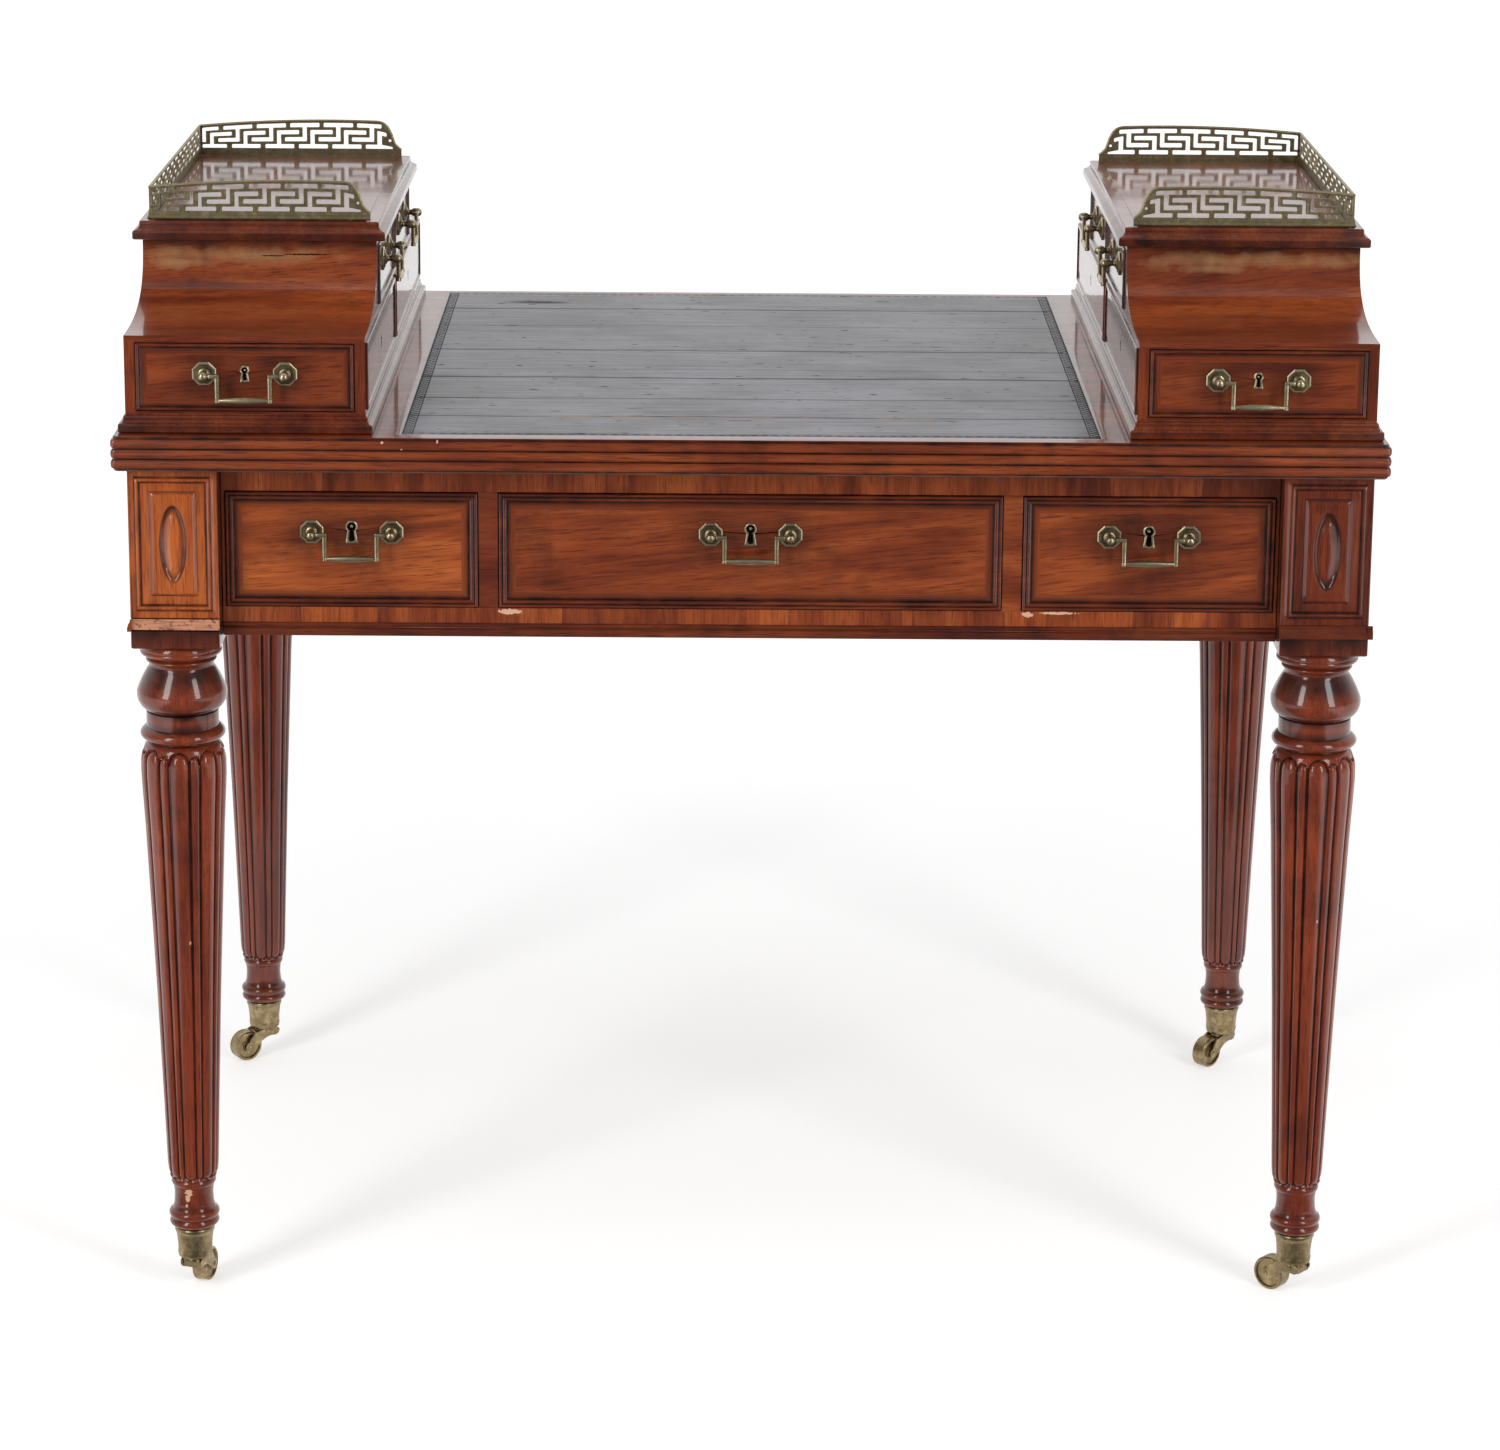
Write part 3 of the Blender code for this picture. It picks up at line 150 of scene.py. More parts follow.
class WritingDeskColours(bpy.types.PropertyGroup):
    """Colours of the desk's finishes."""

    mahogany_light: hue("Mahogany light", "Bright figure in the polished mahogany", "#A4562C")
    mahogany_mid: hue("Mahogany", "Body colour of the polished mahogany", "#833C1C")
    mahogany_dark: hue("Mahogany dark", "Dark figure in the polished mahogany", "#501C10")
    # this dark colour also paints shade in the grooves, quirks and hollows of the mahogany
    patina_and_shade: hue("Patina", "Dark wax and polish in corners and along edges", "#260E0B")
    leg_light: hue("Leg light", "Bright figure in the turned legs", "#A24A28")
    leg_dark: hue("Leg dark", "Dark figure in the turned legs", "#571E13")
    scar: hue("Scar", "Wood bared where the block's moulding is lost", "#BE8263")
    lining: hue("Lining", "Unpolished wood of the drawer sides and the inside", "#8A6038")
    leather: hue("Leather", "Aged writing leather", "#26262B")
    # the worn colour is partly rubbed leather and partly painted sheen of the glaze
    leather_worn: hue("Worn leather", "Rubbed leather", "#76767F")
    brass: hue("Brass", "Aged brass of the handles", "#8C7D60")
    brass_bright: hue("Rubbed brass", "Brass that hands keep bright", "#D8CCA8")
    brass_dark: hue("Tarnish", "Brown tarnish on the brass", "#51452F")
    gallery: hue("Gallery brass", "Darker, dusty brass of the galleries", "#877A5C")
    caster: hue("Caster brass", "Yellow lacquered brass of the casters", "#9A8664")
    floor: hue("Floor", "Pale studio floor", "#F2F2F2")


# Surfaces


def joined(*parts):
    """Arrays one after the other, as one array."""
    return np.concatenate([np.asarray(p, float) for p in parts])


def unit(vectors):
    """The vectors at length one."""
    return vectors / np.maximum(np.linalg.norm(vectors, axis=-1, keepdims=True), 1e-9)


def circle(count, start=0.0):
    """The points (cos a, sin a) at even angles."""
    a = start + 2 * math.pi * np.arange(count) / count
    return np.stack((np.cos(a), np.sin(a)), 1)


def bowed(points, bulges, steps=9):
    """The outline through points, each span bowed to its right by its bulge as a parabola 4t(1-t)."""
    points, bulges = np.asarray(points, float), np.asarray(bulges, float)
    span = np.diff(points, axis=0)
    normal = unit(np.stack((span[:, 1], -span[:, 0]), 1))
    t = np.linspace(0, 1, steps)[:, None]
    rise = bulges[:, None, None] * 4 * t * (1 - t)
    curve = points[:-1, None] + span[:, None] * t + normal[:, None] * rise
    keep = np.ones(curve.shape[:2], bool)
    keep[bulges == 0, 1:-1] = False
    curve = curve[keep]
    moved = np.linalg.norm(np.diff(curve, axis=0, prepend=curve[:1] - 1), axis=1) > 1e-7
    return curve[moved]


def rounded_ring(half_x, half_y, radius):
    """A rectangle with round corners: each corner's centre plus radius times (cos, sin) over a quarter turn."""
    turn = (np.linspace(0, math.pi / 2, 5) + np.arange(4)[:, None] * math.pi / 2).ravel()
    corner = np.repeat([(1, 1), (-1, 1), (-1, -1), (1, -1)], 5, axis=0)
    return corner * (half_x - radius, half_y - radius) + radius * np.stack((np.cos(turn), np.sin(turn)), 1)


def even_ring(half_x, half_y, count):
    """A rectangle sampled evenly: count points along each side, from the corner at +X and -Y."""
    s, one = 2 * np.arange(count) / count - 1, np.ones(count)
    return np.stack((joined(one, -s, -one, s), joined(s, one, -s, -one)), 1) * (half_x, half_y)


def oval_ring(half_x, half_y, count):
    """An ellipse (half_x cos a, half_y sin a) of 4 x count points, starting at -45 degrees."""
    return circle(4 * count, -math.pi / 4) * (half_x, half_y)


def spun(outline, sides, start=0.0):
    """A ring (r cos a, r sin a) for each (radius, height) of an outline."""
    return np.asarray(outline, float)[:, None, :1] * circle(sides, start)


def stack(rings, heights):
    """Level rings of (x, y) points, each at its own height, as one grid."""
    rings = np.asarray(rings, float)
    z = np.broadcast_to(np.asarray(heights, float)[:, None], rings.shape[:2])
    return np.concatenate((rings, z[..., None]), 2)


def facing(rings, heights, out, centre):
    """Upright rings of (level, up) points, each set out by its height in the direction out from the centre."""
    grid = stack(rings, heights)
    (ox, oy), (level, up, height) = out, np.moveaxis(grid, 2, 0)
    return np.stack((ox * height + abs(oy) * level, oy * height + abs(ox) * level, up), 2) + centre


def carried(path, profile):
    """A profile of (out, up) points carried along a path, square to it, with its corners mitred."""
    step = unit(np.diff(path, axis=0))
    before, after = joined(step[:1], step), joined(step, step[-1:])
    along = unit(before + after)
    side, square = (unit(np.stack((v[:, 1], -v[:, 0], 0 * v[:, 0]), 1)) for v in (along, before))
    up = np.cross(side, along)
    side = side / np.clip(np.sum(side * square, axis=1), 0.3, 1)[:, None]
    return path[:, None] + side[:, None] * profile[:, :1] + up[:, None] * profile[:, 1:]


def tube(path, radii, sides, squareness=2.0):
    """A tube round a path in an upright plane; each section is a superellipse of that squareness."""
    flat = np.array([0.0, 1.0, 0.0])
    across = unit(np.cross(unit(np.gradient(path, axis=0)), flat))
    section = circle(sides, math.pi / sides)
    section *= np.sum(np.abs(section) ** squareness, axis=1, keepdims=True) ** (-1 / squareness)
    return path[:, None] + radii[:, None, None] * (across[:, None] * section[:, :1] + flat * section[:, 1:])


def cubic(*controls):
    """The Bezier curve of four control points, in 16 steps: the sum of binomial(3,k) (1-t)^(3-k) t^k p_k."""
    a, b, c, d = np.array(controls, float)
    t = np.linspace(0, 1, 16)[:, None]
    return (1 - t) ** 3 * a + 3 * (1 - t) ** 2 * t * b + 3 * (1 - t) * t ** 2 * c + t ** 3 * d


def keyhole(width, height, count, square=False):
    """A keyhole's outline by angle: the farthest of a disc, a tapered slot and a small disc, or a square foot."""
    c, s = circle(count, -math.pi / 4).T
    radius = width / 2
    foot = 0.76 * radius

    def disc(middle, radius):
        inside = np.abs(middle * c) <= radius
        return inside * np.clip(middle * s + np.sqrt(np.clip(radius ** 2 - (middle * c) ** 2, 0, None)), 0, None)

    reach = np.where(s < 0, (height / 2 - foot * (not square)) / np.maximum(-s, 1e-6), 1e9)
    lean = np.abs(c) + 0.3 * radius / (height / 2) * s
    side = np.where(lean > 1e-6, (0.72 if square else 0.5) * radius / np.maximum(lean, 1e-6), 1e9)
    slot = np.where(s > 0.6, 0, np.minimum(reach, side))
    r = np.maximum.reduce([disc(height / 2 - radius, radius), disc(foot - height / 2, foot), slot])
    return np.stack((r * c, r * s), 1)


def turned(angle, place):
    """A map that turns points round Z by an angle and then moves them to a place."""
    c, s = math.cos(angle), math.sin(angle)
    return lambda p: p @ np.array([[c, s, 0], [-s, c, 0], [0, 0, 1]]) + np.asarray(place)


class Build:
    """Gathers closed shells of points and makes one mesh object of them."""

    def __init__(self):
        self.points, self.corners, self.counts, self.slots, self.total = [], [], [], [], 0
        self.marks = {name: [] for name in MARKS}

    def add(self, points, corners, counts, slots, marks):
        """Adds points in any arrangement, and faces by their corners, counts and slots; no mark means 0."""
        for store, rows in ((self.points, points.reshape(-1, 3)), (self.corners, corners + self.total),
                            (self.counts, counts), (self.slots, slots)):
            store.append(rows)
        for name, rows in self.marks.items():
            rows.append(np.broadcast_to(marks.get(name, 0.0), points.shape[:-1]).reshape(-1))
        self.total += len(self.points[-1])

    def shell(self, grid, slot=0, cap_slot=None, ends=True, **marks):
        """Adds a grid (rows, columns, 3) closed round its columns; faces point outwards.

        Its end rows are capped, or without ends they are joined. The sign of the volume, the sum of
        p0 . (p1 x p2) / 6 over all triangles, tells which way the faces point.
        """
        index = np.arange(grid.size // 3).reshape(grid.shape[:2])
        up = np.roll(index, -1, 0)
        quads = np.stack((index, np.roll(index, -1, 1), np.roll(up, -1, 1), up), 2)
        quads = (quads[:-1] if ends else quads).reshape(-1, 4)
        caps = [index[0][::-1], index[-1]] if ends else []
        q = grid.reshape(-1, 3) - grid.reshape(-1, 3).mean(axis=0)
        a, b, c, d = (q[quads[:, i]] for i in range(4))
        volume = np.sum(a * (np.cross(b, c) + np.cross(c, d)))
        volume += sum(np.sum(q[cap[0]] * np.cross(q[cap[1:-1]], q[cap[2:]])) for cap in caps)
        if volume < 0:
            quads, caps = quads[:, ::-1], [cap[::-1] for cap in caps]
        faces = len(quads), len(caps)
        self.add(grid, np.concatenate((quads.ravel(), *caps)), np.repeat((4, grid.shape[1]), faces),
                 np.repeat((slot, slot if cap_slot is None else cap_slot), faces), marks)

    def prism(self, outline, axis, start, end, slot=0, cap_slot=None, **marks):
        """A closed outline carried straight along an axis from start to end."""
        grid = np.empty((2, len(outline), 3))
        grid[..., [k for k in range(3) if k != axis]] = outline
        grid[..., axis] = [[start], [end]]
        self.shell(grid, slot, cap_slot, **marks)

    def board(self, low, high, slot=0, cap_slot=None, axis=0, **marks):
        """An upright box between two corners, carried along one axis."""
        low, high = np.minimum(low, high), np.maximum(low, high)
        (a, b), (c, d) = np.delete(low, axis), np.delete(high, axis)
        self.prism([(a, b), (c, b), (c, d), (a, d)], axis, low[axis], high[axis], slot, cap_slot, **marks)

    def make(self, name, materials, body, replaced, slot_name, bevel=0.0, crease=35.0, turn=None):
        """Makes the object, rides it on its body and lets it stand for the frame's nodes."""
        points, corner, counts = (np.concatenate(rows) for rows in (self.points, self.corners, self.counts))
        if turn:
            points = turn(points)
        mesh = bpy.data.meshes.new(name)
        mesh.vertices.add(len(points))
        mesh.loops.add(len(corner))
        mesh.polygons.add(len(counts))
        mesh.vertices.foreach_set("co", (points * MM).astype(np.float32).ravel())
        for items, field, values in ((mesh.loops, "vertex_index", corner),
                                     (mesh.polygons, "loop_start", np.cumsum(counts) - counts),
                                     (mesh.polygons, "material_index", np.concatenate(self.slots))):
            items.foreach_set(field, values.astype(np.int32))
        for mark, values in self.marks.items():
            attribute = mesh.attributes.new(mark, "FLOAT", "POINT")
            attribute.data.foreach_set("value", np.concatenate(values).astype(np.float32))
        for material in materials:
            mesh.materials.append(material)
        mesh.update(calc_edges=True)
        if mesh.validate():
            raise RuntimeError(f"{name} has faces that don't hold together")
        mesh.shade_smooth()
        mesh.set_sharp_from_angle(angle=math.radians(crease))
        piece = bpy.data.objects.new(name, mesh)
        bpy.context.scene.collection.objects.link(piece)
        if bevel:
            rounding = piece.modifiers.new("arris", "BEVEL")
            rounding.width, rounding.segments, rounding.harden_normals = bevel, 2, False
            rounding.limit_method, rounding.angle_limit = "ANGLE", math.radians(58)
        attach(piece, body)
        if replaced:
            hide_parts(*replaced)


# Finishes


def shaded(colour, share):
    """A colour times a share, opaque."""
    return tuple(share * c for c in colour[:3]) + (1.0,)


def blended(a, b, share):
    """Two colours mixed, with that share of the second."""
    return tuple((1 - share) * x + share * y for x, y in zip(a, b))


def feed(tree, socket, value):
    """Links a socket to an output, or sets it to a constant."""
    if isinstance(value, bpy.types.NodeSocket):
        tree.links.new(value, socket)
    else:
        socket.default_value = value


def add_node(tree, kind, inputs=None, out=None, stops=(), **choices):
    """Adds a node with its choices, inputs and colour stops.

    Returns its output of that name, all its outputs for "all", or else the first that is in use.
    """
    node = tree.nodes.new("ShaderNode" + kind)
    for name, value in choices.items():
        setattr(node, name, value)
    for name, value in (inputs or {}).items():
        feed(tree, node.inputs[name], value)
    if stops:
        elements = node.color_ramp.elements
        while len(elements) < len(stops):
            elements.new(0.5)
        for element, (place, shade) in zip(elements, stops):
            element.position, element.color = place, shade
    if out:
        return node.outputs if out == "all" else node.outputs[out]
    return next(socket for socket in node.outputs if socket.enabled)


def new_finish(name):
    """An empty node material, the function that adds its nodes, and the object's own coordinates."""
    material = bpy.data.materials.new(name)
    material.use_nodes = True
    node = partial(add_node, material.node_tree)
    return material, node, node("TexCoord", out="Object")


def lay(material, inputs):
    """Feeds the material's Principled shader."""
    shader = material.node_tree.nodes["Principled BSDF"]
    for name, value in inputs.items():
        feed(material.node_tree, shader.inputs[name], value)


def streaks(node, place, scale, detail, roughness=0.5, distortion=0.0):
    """Noise drawn out so that its grains are 1 / scale long along each axis."""
    drawn = node("Mapping", {"Scale": scale, "Vector": place})
    return node("TexNoise", {"Scale": 1.0, "Detail": detail, "Roughness": roughness, "Distortion": distortion,
                             "Vector": drawn})


def folded(node, operation, *values):
    """Several values taken together one after the other, such as to their largest."""
    found = values[0]
    for value in values[1:]:
        found = node("Math", {0: found, 1: value}, operation=operation)
    return found


def band(node, value, low, high, soft):
    """1 where a value lies between low and high, falling to 0 over a soft width: two ramps multiplied."""
    up = node("MapRange", {"From Min": (low - soft) * MM, "From Max": low * MM, "Value": value})
    down = node("MapRange", {"From Min": high * MM, "From Max": (high + soft) * MM, "To Min": 1.0, "To Max": 0.0,
                             "Value": value})
    return folded(node, "MULTIPLY", up, down)


def patched(node, place, colour, tint, patches, soft=0.14, strength=1.0, grain=420.0):
    """Lays a tint over a colour inside each patch, an ellipsoid |(p - centre) / size| < 1 with a ragged rim."""
    ragged = node("TexNoise", {"Scale": grain, "Detail": 2.0, "Vector": place})
    reaches = []
    for patch in patches:
        centre, size = (tuple(part) for part in np.reshape(patch, (2, 3)) * MM)
        apart = node("VectorMath", {0: place, 1: centre}, operation="SUBTRACT")
        share = node("VectorMath", {0: apart, 1: size}, operation="DIVIDE")
        reaches.append(node("VectorMath", {0: share}, operation="LENGTH"))
    rim = node("Math", {0: ragged, 1: 1.7, 2: folded(node, "MINIMUM", *reaches)}, operation="MULTIPLY_ADD")
    mask = node("MapRange", {"From Min": 1.9, "From Max": 1.9 - soft, "To Max": strength, "Value": rim})
    return node("Mix", {"Factor": mask, "A": colour, "B": tint}, data_type="RGBA")


def board_joints(node, place, colour):
    """Dark hairlines where the boards of the top meet, on the bare margins beside the leather."""
    axes = node("SeparateXYZ", {0: place}, "all")
    across = node("Math", {0: axes["X"]}, operation="ABSOLUTE")
    # the two joints nearest the middle don't show there
    lines = [band(node, axes["Y"], y - 0.3, y + 0.3, 0.5) for y in BOARD_JOINTS if abs(y) != 46]
    beside = band(node, across, LEATHER_HIGH[0], LEATHER_HIGH[0] + 60, 0.2)
    dark = folded(node, "MULTIPLY", folded(node, "MAXIMUM", *lines), beside)
    return node("Mix", {"Factor": dark, "A": colour, "B": linear("#1B0907")}, data_type="RGBA")


def polished_mahogany(name, along, light, mid, dark, patina_and_shade, lean=0.0, chips=(), fades_and_highlights=(), cracks=(), joints=False):
    """Mahogany, sawn, scraped and French polished.

    The open pores show as fine dark strokes along the grain, the figure as longer flames, and the shellac
    as a thin glossy coat that waves a little and holds dark wax in every corner, deepened there by painted shade.
    """
    material, node, place = new_finish(name)
    turn = {"X": (0, lean, 0), "Y": (0, 0, -math.pi / 2), "Z": (0, math.pi / 2 + lean, 0)}[along]
    grain_way = node("Mapping", {"Rotation": turn, "Vector": place})
    tone = node("Attribute", None, "all", attribute_name="tone")
    board = node("VectorMath", {0: tone["Vector"], 1: (3.1, 1.7, 2.3), 2: grain_way}, operation="MULTIPLY_ADD")
    # flames about 12 mm wide and 200 mm long, strokes of pore 1.2 mm wide and 25 mm long: real pores are
    # 0.3 mm wide, and are drawn coarser to show
    figure = streaks(node, board, (5, 80, 80), 8.0, 0.7, 0.7)
    broad = streaks(node, board, (3.5, 17, 17), 3.0, 0.5, 1.4)
    stroke = streaks(node, board, (40, 820, 820), 2.0, 0.6)
    both = node("Mix", {"Factor": 0.5, "A": figure, "B": broad}, data_type="FLOAT")
    body = node("ValToRGB", {"Fac": both}, stops=[(0.34, dark), (0.50, mid), (0.67, light)])
    pores = node("MapRange", {"From Min": 0.52, "From Max": 0.68, "To Max": 0.7, "Value": stroke})
    grained = node("Mix", {"Factor": pores, "A": body, "B": dark}, data_type="RGBA")
    # each board has its own tone, from a deep wine red at 0 to a faded gold at 1
    tint = node("Mix", {"Factor": tone["Fac"], "A": (0.62, 0.46, 0.55, 1.0), "B": (1.32, 1.31, 1.02, 1.0)},
                data_type="RGBA", clamp_factor=False)
    toned = node("VectorMath", {0: grained, 1: tint}, operation="MULTIPLY")
    edge = node("Attribute", out="Fac", attribute_name="edge")
    smoky = node("TexNoise", {"Scale": 45.0, "Detail": 3.0, "Vector": place})
    amount = node("MapRange", {"From Min": 0.25, "From Max": 0.75, "To Min": 0.55, "To Max": 1.2, "Value": smoky})
    # smoke and old wax leave darker clouds about 50 mm across
    cloudy = node("TexNoise", {"Scale": 17.0, "Detail": 5.0, "Roughness": 0.6, "Vector": board})
    cloud = node("MapRange", {"From Min": 0.54, "From Max": 0.70, "To Max": 0.38, "Value": cloudy})
    # the patina colour also paints shade: the edge mark darkens grooves, quirks and hollows as wax and painted shade
    held_wax_and_shade = node("Math", {0: edge, 1: amount, 2: cloud}, operation="MULTIPLY_ADD", use_clamp=True)
    waxed_and_shaded = node("Mix", {"Factor": held_wax_and_shade, "A": toned, "B": patina_and_shade}, data_type="RGBA")
    wear = node("Attribute", out="Fac", attribute_name="wear")
    colour = node("Mix", {"Factor": wear, "A": waxed_and_shaded, "B": linear("#B97F5C")}, data_type="RGBA")
    # pale patches are fading with a painted highlight, cracks are dark and chips are bare wood
    for patches, patch_colour, *how in ((fades_and_highlights, "#AD8C60", 0.9, 0.5, 60.0), (cracks, "#150B08"), (chips, "#D6A98C")):
        if patches:
            colour = patched(node, place, colour, linear(patch_colour), patches, *how)
    if joints:
        colour = board_joints(node, place, colour)
    # hand polish leaves waves about 25 mm long and a few hundredths of a millimetre deep
    waves = node("TexNoise", {"Scale": 40.0, "Detail": 1.0, "Vector": place})
    swell = node("Bump", {"Strength": 0.35, "Distance": 0.0003, "Height": waves})
    lay(material, {
        "Base Color": colour, "Specular IOR Level": 0.15, "Coat Weight": 0.85, "Coat Roughness": 0.09,
        "Roughness": node("MapRange", {"To Min": 0.28, "To Max": 0.46, "Value": smoky}), "Coat Normal": swell,
        "Normal": node("Bump", {"Strength": 0.25, "Distance": 0.0001, "Height": stroke, "Normal": swell})})


def drawer_lining(name, along, colour):
    """Planed, unpolished mahogany or cedar of the drawers' insides: dry, paler and finely streaked."""
    material, node, place = new_finish(name)
    # streaks 6 mm wide and 170 mm long
    noise = streaks(node, place, [6 if axis == along else 160 for axis in "XYZ"], 5.0)
    lay(material, {
        "Base Color": node("ValToRGB", {"Fac": noise}, stops=[(0.35, shaded(colour, 0.55)), (0.65, colour)]),
        "Roughness": 0.62, "Normal": node("Bump", {"Strength": 0.3, "Distance": 0.0002, "Height": noise})})


def torn_wood(name, colour):
    """Mahogany split along the grain where a glued moulding came off: dry, fibrous, with old red polish and glue."""
    material, node, place = new_finish(name)
    # fibres 2 mm wide and 20 mm long under ragged red flecks of 4 mm
    fibre = streaks(node, place, (50, 500, 500), 5.0)
    body = node("ValToRGB", {"Fac": fibre}, stops=[(0.36, shaded(colour, 0.6)), (0.52, colour)])
    fleck = node("TexNoise", {"Scale": 330.0, "Detail": 4.0, "Vector": place})
    red = node("MapRange", {"From Min": 0.56, "From Max": 0.62, "To Max": 0.8, "Value": fleck})
    lay(material, {
        "Base Color": node("Mix", {"Factor": red, "A": body, "B": linear("#6E2E20")}, data_type="RGBA"),
        "Roughness": 0.75, "Normal": node("Bump", {"Strength": 0.6, "Distance": 0.0004, "Height": fibre})})


def aged_brass(name, plain, bright, tarnish, dull=0.0):
    """Cast, filed and lacquered brass that has browned: rubbed bright on its edges, dull in its hollows."""
    material, node, place = new_finish(name)
    # patches of tarnish about 8 mm across over a casting texture of 1.5 mm
    patches = node("TexNoise", {"Scale": 130.0, "Detail": 4.0, "Roughness": 0.6, "Vector": place})
    fine = node("TexNoise", {"Scale": 650.0, "Detail": 3.0, "Vector": place})
    mixed = node("Mix", {"Factor": 0.35, "A": patches, "B": fine}, data_type="FLOAT")
    body = node("ValToRGB", {"Fac": mixed}, stops=[(0.27, tarnish), (0.40, blended(plain, linear("#6E6A55"), 0.5)),
                                                   (0.50, plain), (0.72, bright)])
    edge, wear = (node("Attribute", out="Fac", attribute_name=mark) for mark in ("edge", "wear"))
    dulled = node("Mix", {"Factor": edge, "A": body, "B": tarnish}, data_type="RGBA")
    lay(material, {
        "Base Color": node("Mix", {"Factor": wear, "A": dulled, "B": bright}, data_type="RGBA"), "Metallic": 1.0,
        "Roughness": node("MapRange", {"To Min": 0.48 + dull, "To Max": 0.24 + dull, "Value": mixed}),
        "Normal": node("Bump", {"Strength": 0.3, "Distance": 0.0001, "Height": fine})})


def shaded_lock_iron(name):
    """The wrought lock behind a keyhole: dark, oily iron that gives back almost no light; its near black is painted
    shade.
    """
    material, node, place = new_finish(name)
    noise = node("TexNoise", {"Scale": 900.0, "Detail": 3.0, "Vector": place})
    lay(material, {
        "Base Color": node("ValToRGB", {"Fac": noise}, stops=[(0.3, linear("#0A0808")), (0.7, linear("#211A16"))]),
        "Metallic": 0.4, "Roughness": 0.55})


def tooling(node, axes, across):
    """The leather's blind tooled border: a key band of 9 mm at each end, a dotted line along front and back."""
    end, middle = LEATHER_HIGH[0], (LEATHER_LOW[1] + LEATHER_HIGH[1]) / 2
    side = LEATHER_HIGH[1] - middle
    shifted = node("Math", {0: axes["Y"], 1: middle * MM}, operation="SUBTRACT")
    deep = node("Math", {0: shifted}, operation="ABSOLUTE")
    found = []
    # two rows of strokes at an 8 mm pitch, the second half a pitch on, between ruled lines
    waves = node("Math", {0: axes["Y"], 1: 2 * math.pi / (8 * MM)}, operation="MULTIPLY")
    first = node("Math", {0: waves}, operation="SINE")
    second = node("Math", {0: first, 1: -1.0}, operation="MULTIPLY")
    for wave, far, near in ((first, 7.4, 4.9), (second, 4.2, 1.7)):
        on = node("MapRange", {"From Min": -0.1, "From Max": 0.25, "Value": wave})
        found.append(folded(node, "MULTIPLY", band(node, across, end - far, end - near, 0.4), on))
    found += [band(node, across, end - far, end - near, 0.4) for far, near in ((9.0, 8.4), (1.2, 0.5))]
    dots = node("Math", {0: axes["X"], 1: 2 * math.pi / (9 * MM)}, operation="MULTIPLY")
    dots = node("Math", {0: dots}, operation="SINE")
    on = node("MapRange", {"From Min": -0.4, "From Max": 0.1, "Value": dots})
    found.append(folded(node, "MULTIPLY", band(node, deep, side - 4.5, side - 3.0, 0.4), on))
    return folded(node, "MAXIMUM", *found)


def writing_leather(name, plain, worn):
    """Vegetable-tanned skiver, dyed, glazed and blind tooled.

    A fine pebbled grain, long creases where the boards below have shrunk, and a glaze that turns grey at a
    low angle.
    """
    material, node, place = new_finish(name)
    axes = node("SeparateXYZ", {0: place}, "all")
    tooled = tooling(node, axes, node("Math", {0: axes["X"]}, operation="ABSOLUTE"))
    # brush marks of the glaze run along the desk, about 3 mm wide
    marks = streaks(node, place, (9, 420, 1), 5.0, 0.65)
    clouds = node("TexNoise", {"Scale": 9.0, "Detail": 4.0, "Roughness": 0.6, "Vector": place})
    wear_and_sheen_mix = node("Mix", {"Factor": 0.45, "A": marks, "B": clouds}, data_type="FLOAT")
    # the paler grey is partly rubbed leather and partly painted sheen of the glaze
    body = node("ValToRGB", {"Fac": wear_and_sheen_mix}, stops=[(0.42, plain), (0.58, worn)])
    edge, wear = (node("Attribute", out="Fac", attribute_name=mark) for mark in ("edge", "wear"))
    # painted shade darkens the creases over the board joints through the edge mark; the tooled lines darken too
    waxed_and_shaded = node("Math", {0: folded(node, "MAXIMUM", edge, tooled), 1: 0.9}, operation="MULTIPLY", use_clamp=True)
    # an old burnt stain near the back, about 70 mm long
    stain = node("VectorMath", {0: place, 1: (-0.205, 0.288, 0.78)}, operation="SUBTRACT")
    stain = node("VectorMath", {0: stain, 1: (28.0, 110.0, 0.0)}, operation="MULTIPLY")
    stain = node("VectorMath", {0: stain}, operation="LENGTH")
    stain = node("MapRange", {"From Min": 1.0, "From Max": 0.4, "To Max": 0.6, "Value": stain})
    # nicks where the glaze is gone: rare dark flecks 2 to 6 mm long
    nicks = node("MapRange", {"From Min": 0.72, "From Max": 0.76, "To Max": 0.85,
                              "Value": streaks(node, place, (60, 190, 1), 1.0)})
    dark = node("Math", {0: folded(node, "MAXIMUM", stain, nicks, waxed_and_shaded), 1: 1.0}, operation="MULTIPLY", use_clamp=True)
    inked = node("Mix", {"Factor": dark, "A": body, "B": linear("#0D0F10")}, data_type="RGBA")
    broken = node("MapRange", {"From Min": 0.44, "From Max": 0.52, "Value": streaks(node, place, (38, 260, 1), 4.0)})
    cracked = folded(node, "MULTIPLY", wear, broken)
    plain_rough = node("MapRange", {"To Min": 0.26, "To Max": 0.40, "Value": wear_and_sheen_mix})
    # pebbled grain of 1.2 mm; real skiver is finer and is drawn coarser to show
    pebble = node("TexVoronoi", {"Scale": 800.0, "Vector": place})
    relief = node("Math", {0: tooled, 1: -1.6, 2: pebble}, operation="MULTIPLY_ADD")
    fine = node("Bump", {"Strength": 0.12, "Distance": 0.00006, "Height": relief})
    lay(material, {
        "Base Color": node("Mix", {"Factor": cracked, "A": inked, "B": linear("#9A7453")}, data_type="RGBA"),
        "Roughness": node("Mix", {"Factor": dark, "A": plain_rough, "B": 0.85}, data_type="FLOAT"),
        "Specular IOR Level": 0.45,
        "Normal": node("Bump", {"Strength": 0.22, "Distance": 0.00012, "Height": marks, "Normal": fine})})


